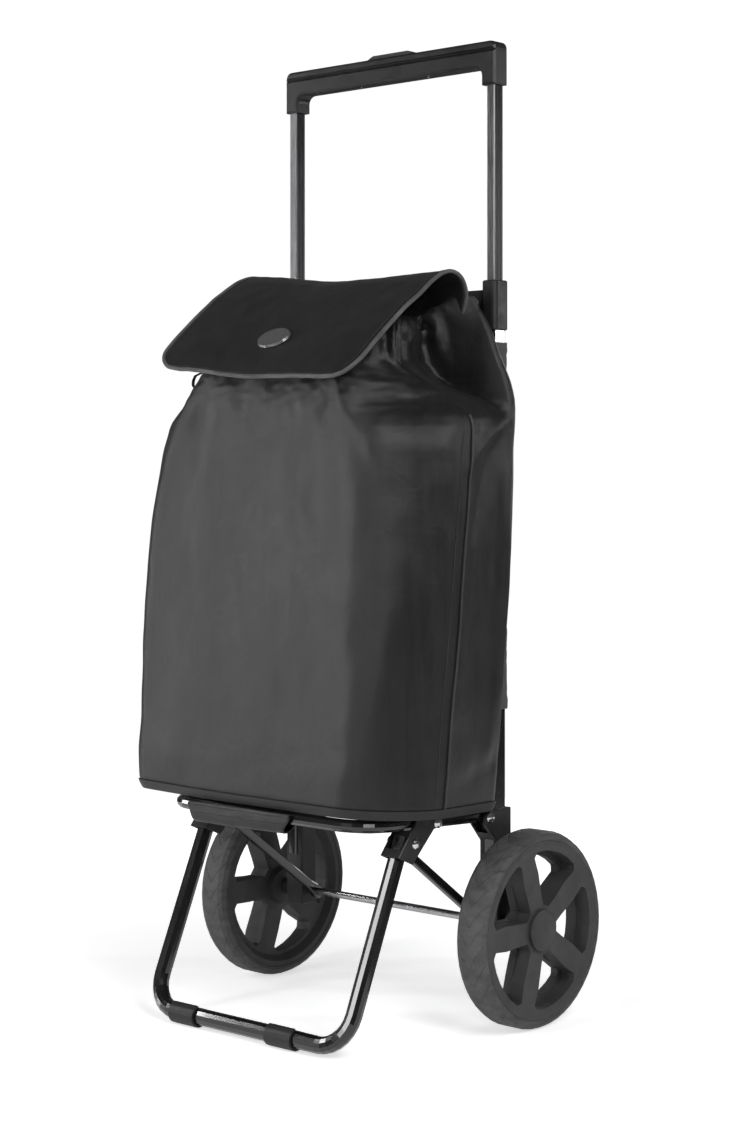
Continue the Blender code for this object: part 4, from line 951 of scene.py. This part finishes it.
def flap_rows():
    """Rows of points on the lid from back to front, and each row's distance along it."""
    profile, distance = smooth_profile(FLAP_PROFILE, 92)
    columns = 61
    half = flap_half(distance, distance[-1])
    x = half[:, None] * np.linspace(-1, 1, columns)[None, :]
    x = np.where(x < 0, x * (1 + 0.035 * smoothstep(distance, 0.04, 0.12))[:, None], x)
    y = np.repeat(AXLE_Y + profile[:, :1], columns, axis=1)
    z = np.repeat(profile[:, 1:], columns, axis=1)
    far = np.repeat(distance[:, None], columns, axis=1)
    return np.stack([x, y, flap_shape(x, y, z, far)], axis=-1), distance


def make_flap():
    """The lid, its piped edge and its stitches."""
    rows, distance = flap_rows()
    lid = mesh_object("flap_lid", rows.reshape(-1, 3), grid_faces(*rows.shape[:2]), 80)
    thicken(lid, FLAP_CLOTH, 1)
    dressed(lid, "flap")
    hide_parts("flap", "flap_back")
    edge = flap_edge(rows)
    piping = tube_object("flap_edge_piping", edge, 0.0021, sides=10)
    dressed(piping, "piping")
    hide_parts("flap_piping")
    inset = flap_edge(rows, 0.0062)
    inset[:, 2] += 0.0001
    lift = np.tile((0.0, -0.5, 0.86), (len(inset), 1))
    sewn = dressed(stitches("flap_stitches", inset, lift), "thread")
    pieces = [lid, piping, sewn]
    for piece in pieces:
        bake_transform(piece)
    return pieces


def flap_edge(rows, inset=0.0):
    """Line round the free edge of the lid, from one rear end to the other, at an inset from it."""
    columns = rows.shape[1]
    spot = inset / 0.13 * (columns - 1) / 2

    def at(row, position):
        low = int(math.floor(position))
        high = min(low + 1, columns - 1)
        return row[low] + (row[high] - row[low]) * (position - low)

    back = max(1, int(round(inset / 0.0029)))
    left = [at(row, spot) for row in rows[: len(rows) - back]]
    front = [at(rows[-back if inset else -1], c) for c in np.linspace(spot, columns - 1 - spot, 60)]
    right = [at(row, columns - 1 - spot) for row in rows[: len(rows) - back]][::-1]
    path = np.array(left + front[1:-1] + right)
    path[:, 2] -= 0.0008 if not inset else -0.0002
    return resampled(path, 0.004)


# Stage


def area_light(name, place, target, size, power):
    light = bpy.data.lights.new(name, "AREA")
    light.shape = "RECTANGLE"
    light.size, light.size_y = size
    light.energy = power
    obj = bpy.data.objects.new(name, light)
    obj.location = place
    obj.rotation_euler = (Vector(target) - Vector(place)).to_track_quat("-Z", "Y").to_euler()
    bpy.context.scene.collection.objects.link(obj)
    obj.visible_camera = False
    return obj


def make_floor():
    """A round patch of pale floor that brightens outwards until it meets the white behind it."""
    sides = 96
    turns = [2 * math.pi * i / sides for i in range(sides)]
    rim = [(FLOOR_RADIUS * math.cos(a), FLOOR_RADIUS * math.sin(a), 0) for a in turns]
    floor = mesh_object("floor", rim, [tuple(range(sides))])
    floor.location.z = -0.0003
    made, tree, shader, place = fresh("pale_floor", roughness=0.7, specular_ior_level=0.1)
    speck = noise_of(tree, place, 3.0, 2.0)
    link(tree, shades(tree, speck, (0.86, 0.86, 0.865), (0.90, 0.90, 0.905)), shader, "Base Color")
    far = node(tree, "ShaderNodeVectorMath", {0: place}, operation="LENGTH").outputs["Value"]
    shader.inputs["Emission Color"].default_value = (0.99, 0.99, 1.0, 1.0)
    glow = between(tree, far, 0.60, 1.02, 0.30, 1.3)
    direct = node(tree, "ShaderNodeLightPath").outputs["Is Camera Ray"]
    share = maths(tree, "MULTIPLY_ADD", direct, 1 - FLOOR_BOUNCE, FLOOR_BOUNCE)
    link(tree, times(tree, glow, share), shader, "Emission Strength")
    floor.data.materials.append(made)


def make_world():
    """White behind the object, and a dim grey room for its reflections."""
    world = bpy.data.worlds.new("studio")
    bpy.context.scene.world = world
    world.use_nodes = True
    tree = world.node_tree
    tree.nodes.clear()
    seen = node(tree, "ShaderNodeBackground", {"Color": (0.99, 0.99, 1.0, 1.0), "Strength": 1.03})
    room = node(tree, "ShaderNodeBackground", {"Color": (0.98, 0.99, 1.0, 1.0), "Strength": 0.06})
    direct = node(tree, "ShaderNodeLightPath").outputs["Is Camera Ray"]
    mixed = node(tree, "ShaderNodeMixShader", {0: direct})
    tree.links.new(room.outputs[0], mixed.inputs[1])
    tree.links.new(seen.outputs[0], mixed.inputs[2])
    final = node(tree, "ShaderNodeOutputWorld")
    tree.links.new(mixed.outputs[0], final.inputs[0])


def make_stage():
    """A narrow light at the left, a tall soft one in front, and dimmer ones at the right and behind."""
    make_floor()
    make_world()
    middle = (0.0, 0.0, 0.5)
    area_light("left_strip", (-1.50, -0.90, 0.62), (-0.16, -0.13, 0.48), (0.10, 1.5), 11)
    area_light("front_box", (-0.30, -2.4, 1.0), (0.0, 0.0, 0.4), (0.45, 2.0), 25)
    area_light("right_box", (1.70, -0.7, 1.6), middle, (0.7, 1.2), 25)
    area_light("rear_spot", (1.36, 1.55, 0.93), (0.15, 0.06, 0.74), (0.16, 0.5), 5)
    area_light("back_box", (-0.8, 2.4, 1.1), middle, (1.2, 1.2), 8)


def make_camera():
    """Upright camera at the front right, a little over half the object's height."""
    data = bpy.data.cameras.new("camera")
    data.sensor_width = 36.0
    data.lens = CAMERA_LENS
    data.shift_y = CAMERA_SHIFT
    data.clip_start, data.clip_end = 0.05, 100
    obj = bpy.data.objects.new("camera", data)
    obj.location = CAMERA_PLACE
    obj.rotation_euler = (math.pi / 2, 0, math.radians(CAMERA_TURN))
    bpy.context.scene.collection.objects.link(obj)
    bpy.context.scene.camera = obj


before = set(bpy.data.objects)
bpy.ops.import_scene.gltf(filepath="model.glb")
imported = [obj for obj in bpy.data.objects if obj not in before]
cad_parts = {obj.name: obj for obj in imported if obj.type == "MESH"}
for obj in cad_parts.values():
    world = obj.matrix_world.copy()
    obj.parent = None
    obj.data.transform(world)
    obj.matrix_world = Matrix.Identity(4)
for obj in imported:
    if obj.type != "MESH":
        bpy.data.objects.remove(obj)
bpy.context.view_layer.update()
paint_frame(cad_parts)
make_camera()
make_stage()
bag, bag_sides = make_bag()
bag_trim = make_bag_trim(bag_sides)
for soft in [bag, *bag_trim, make_tab()]:
    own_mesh(soft)
make_flap()
make_sleeve(-1, "left")
make_sleeve(1, "right")
make_pocket()
make_loop()
bpy.context.scene.view_settings.view_transform = "Standard"
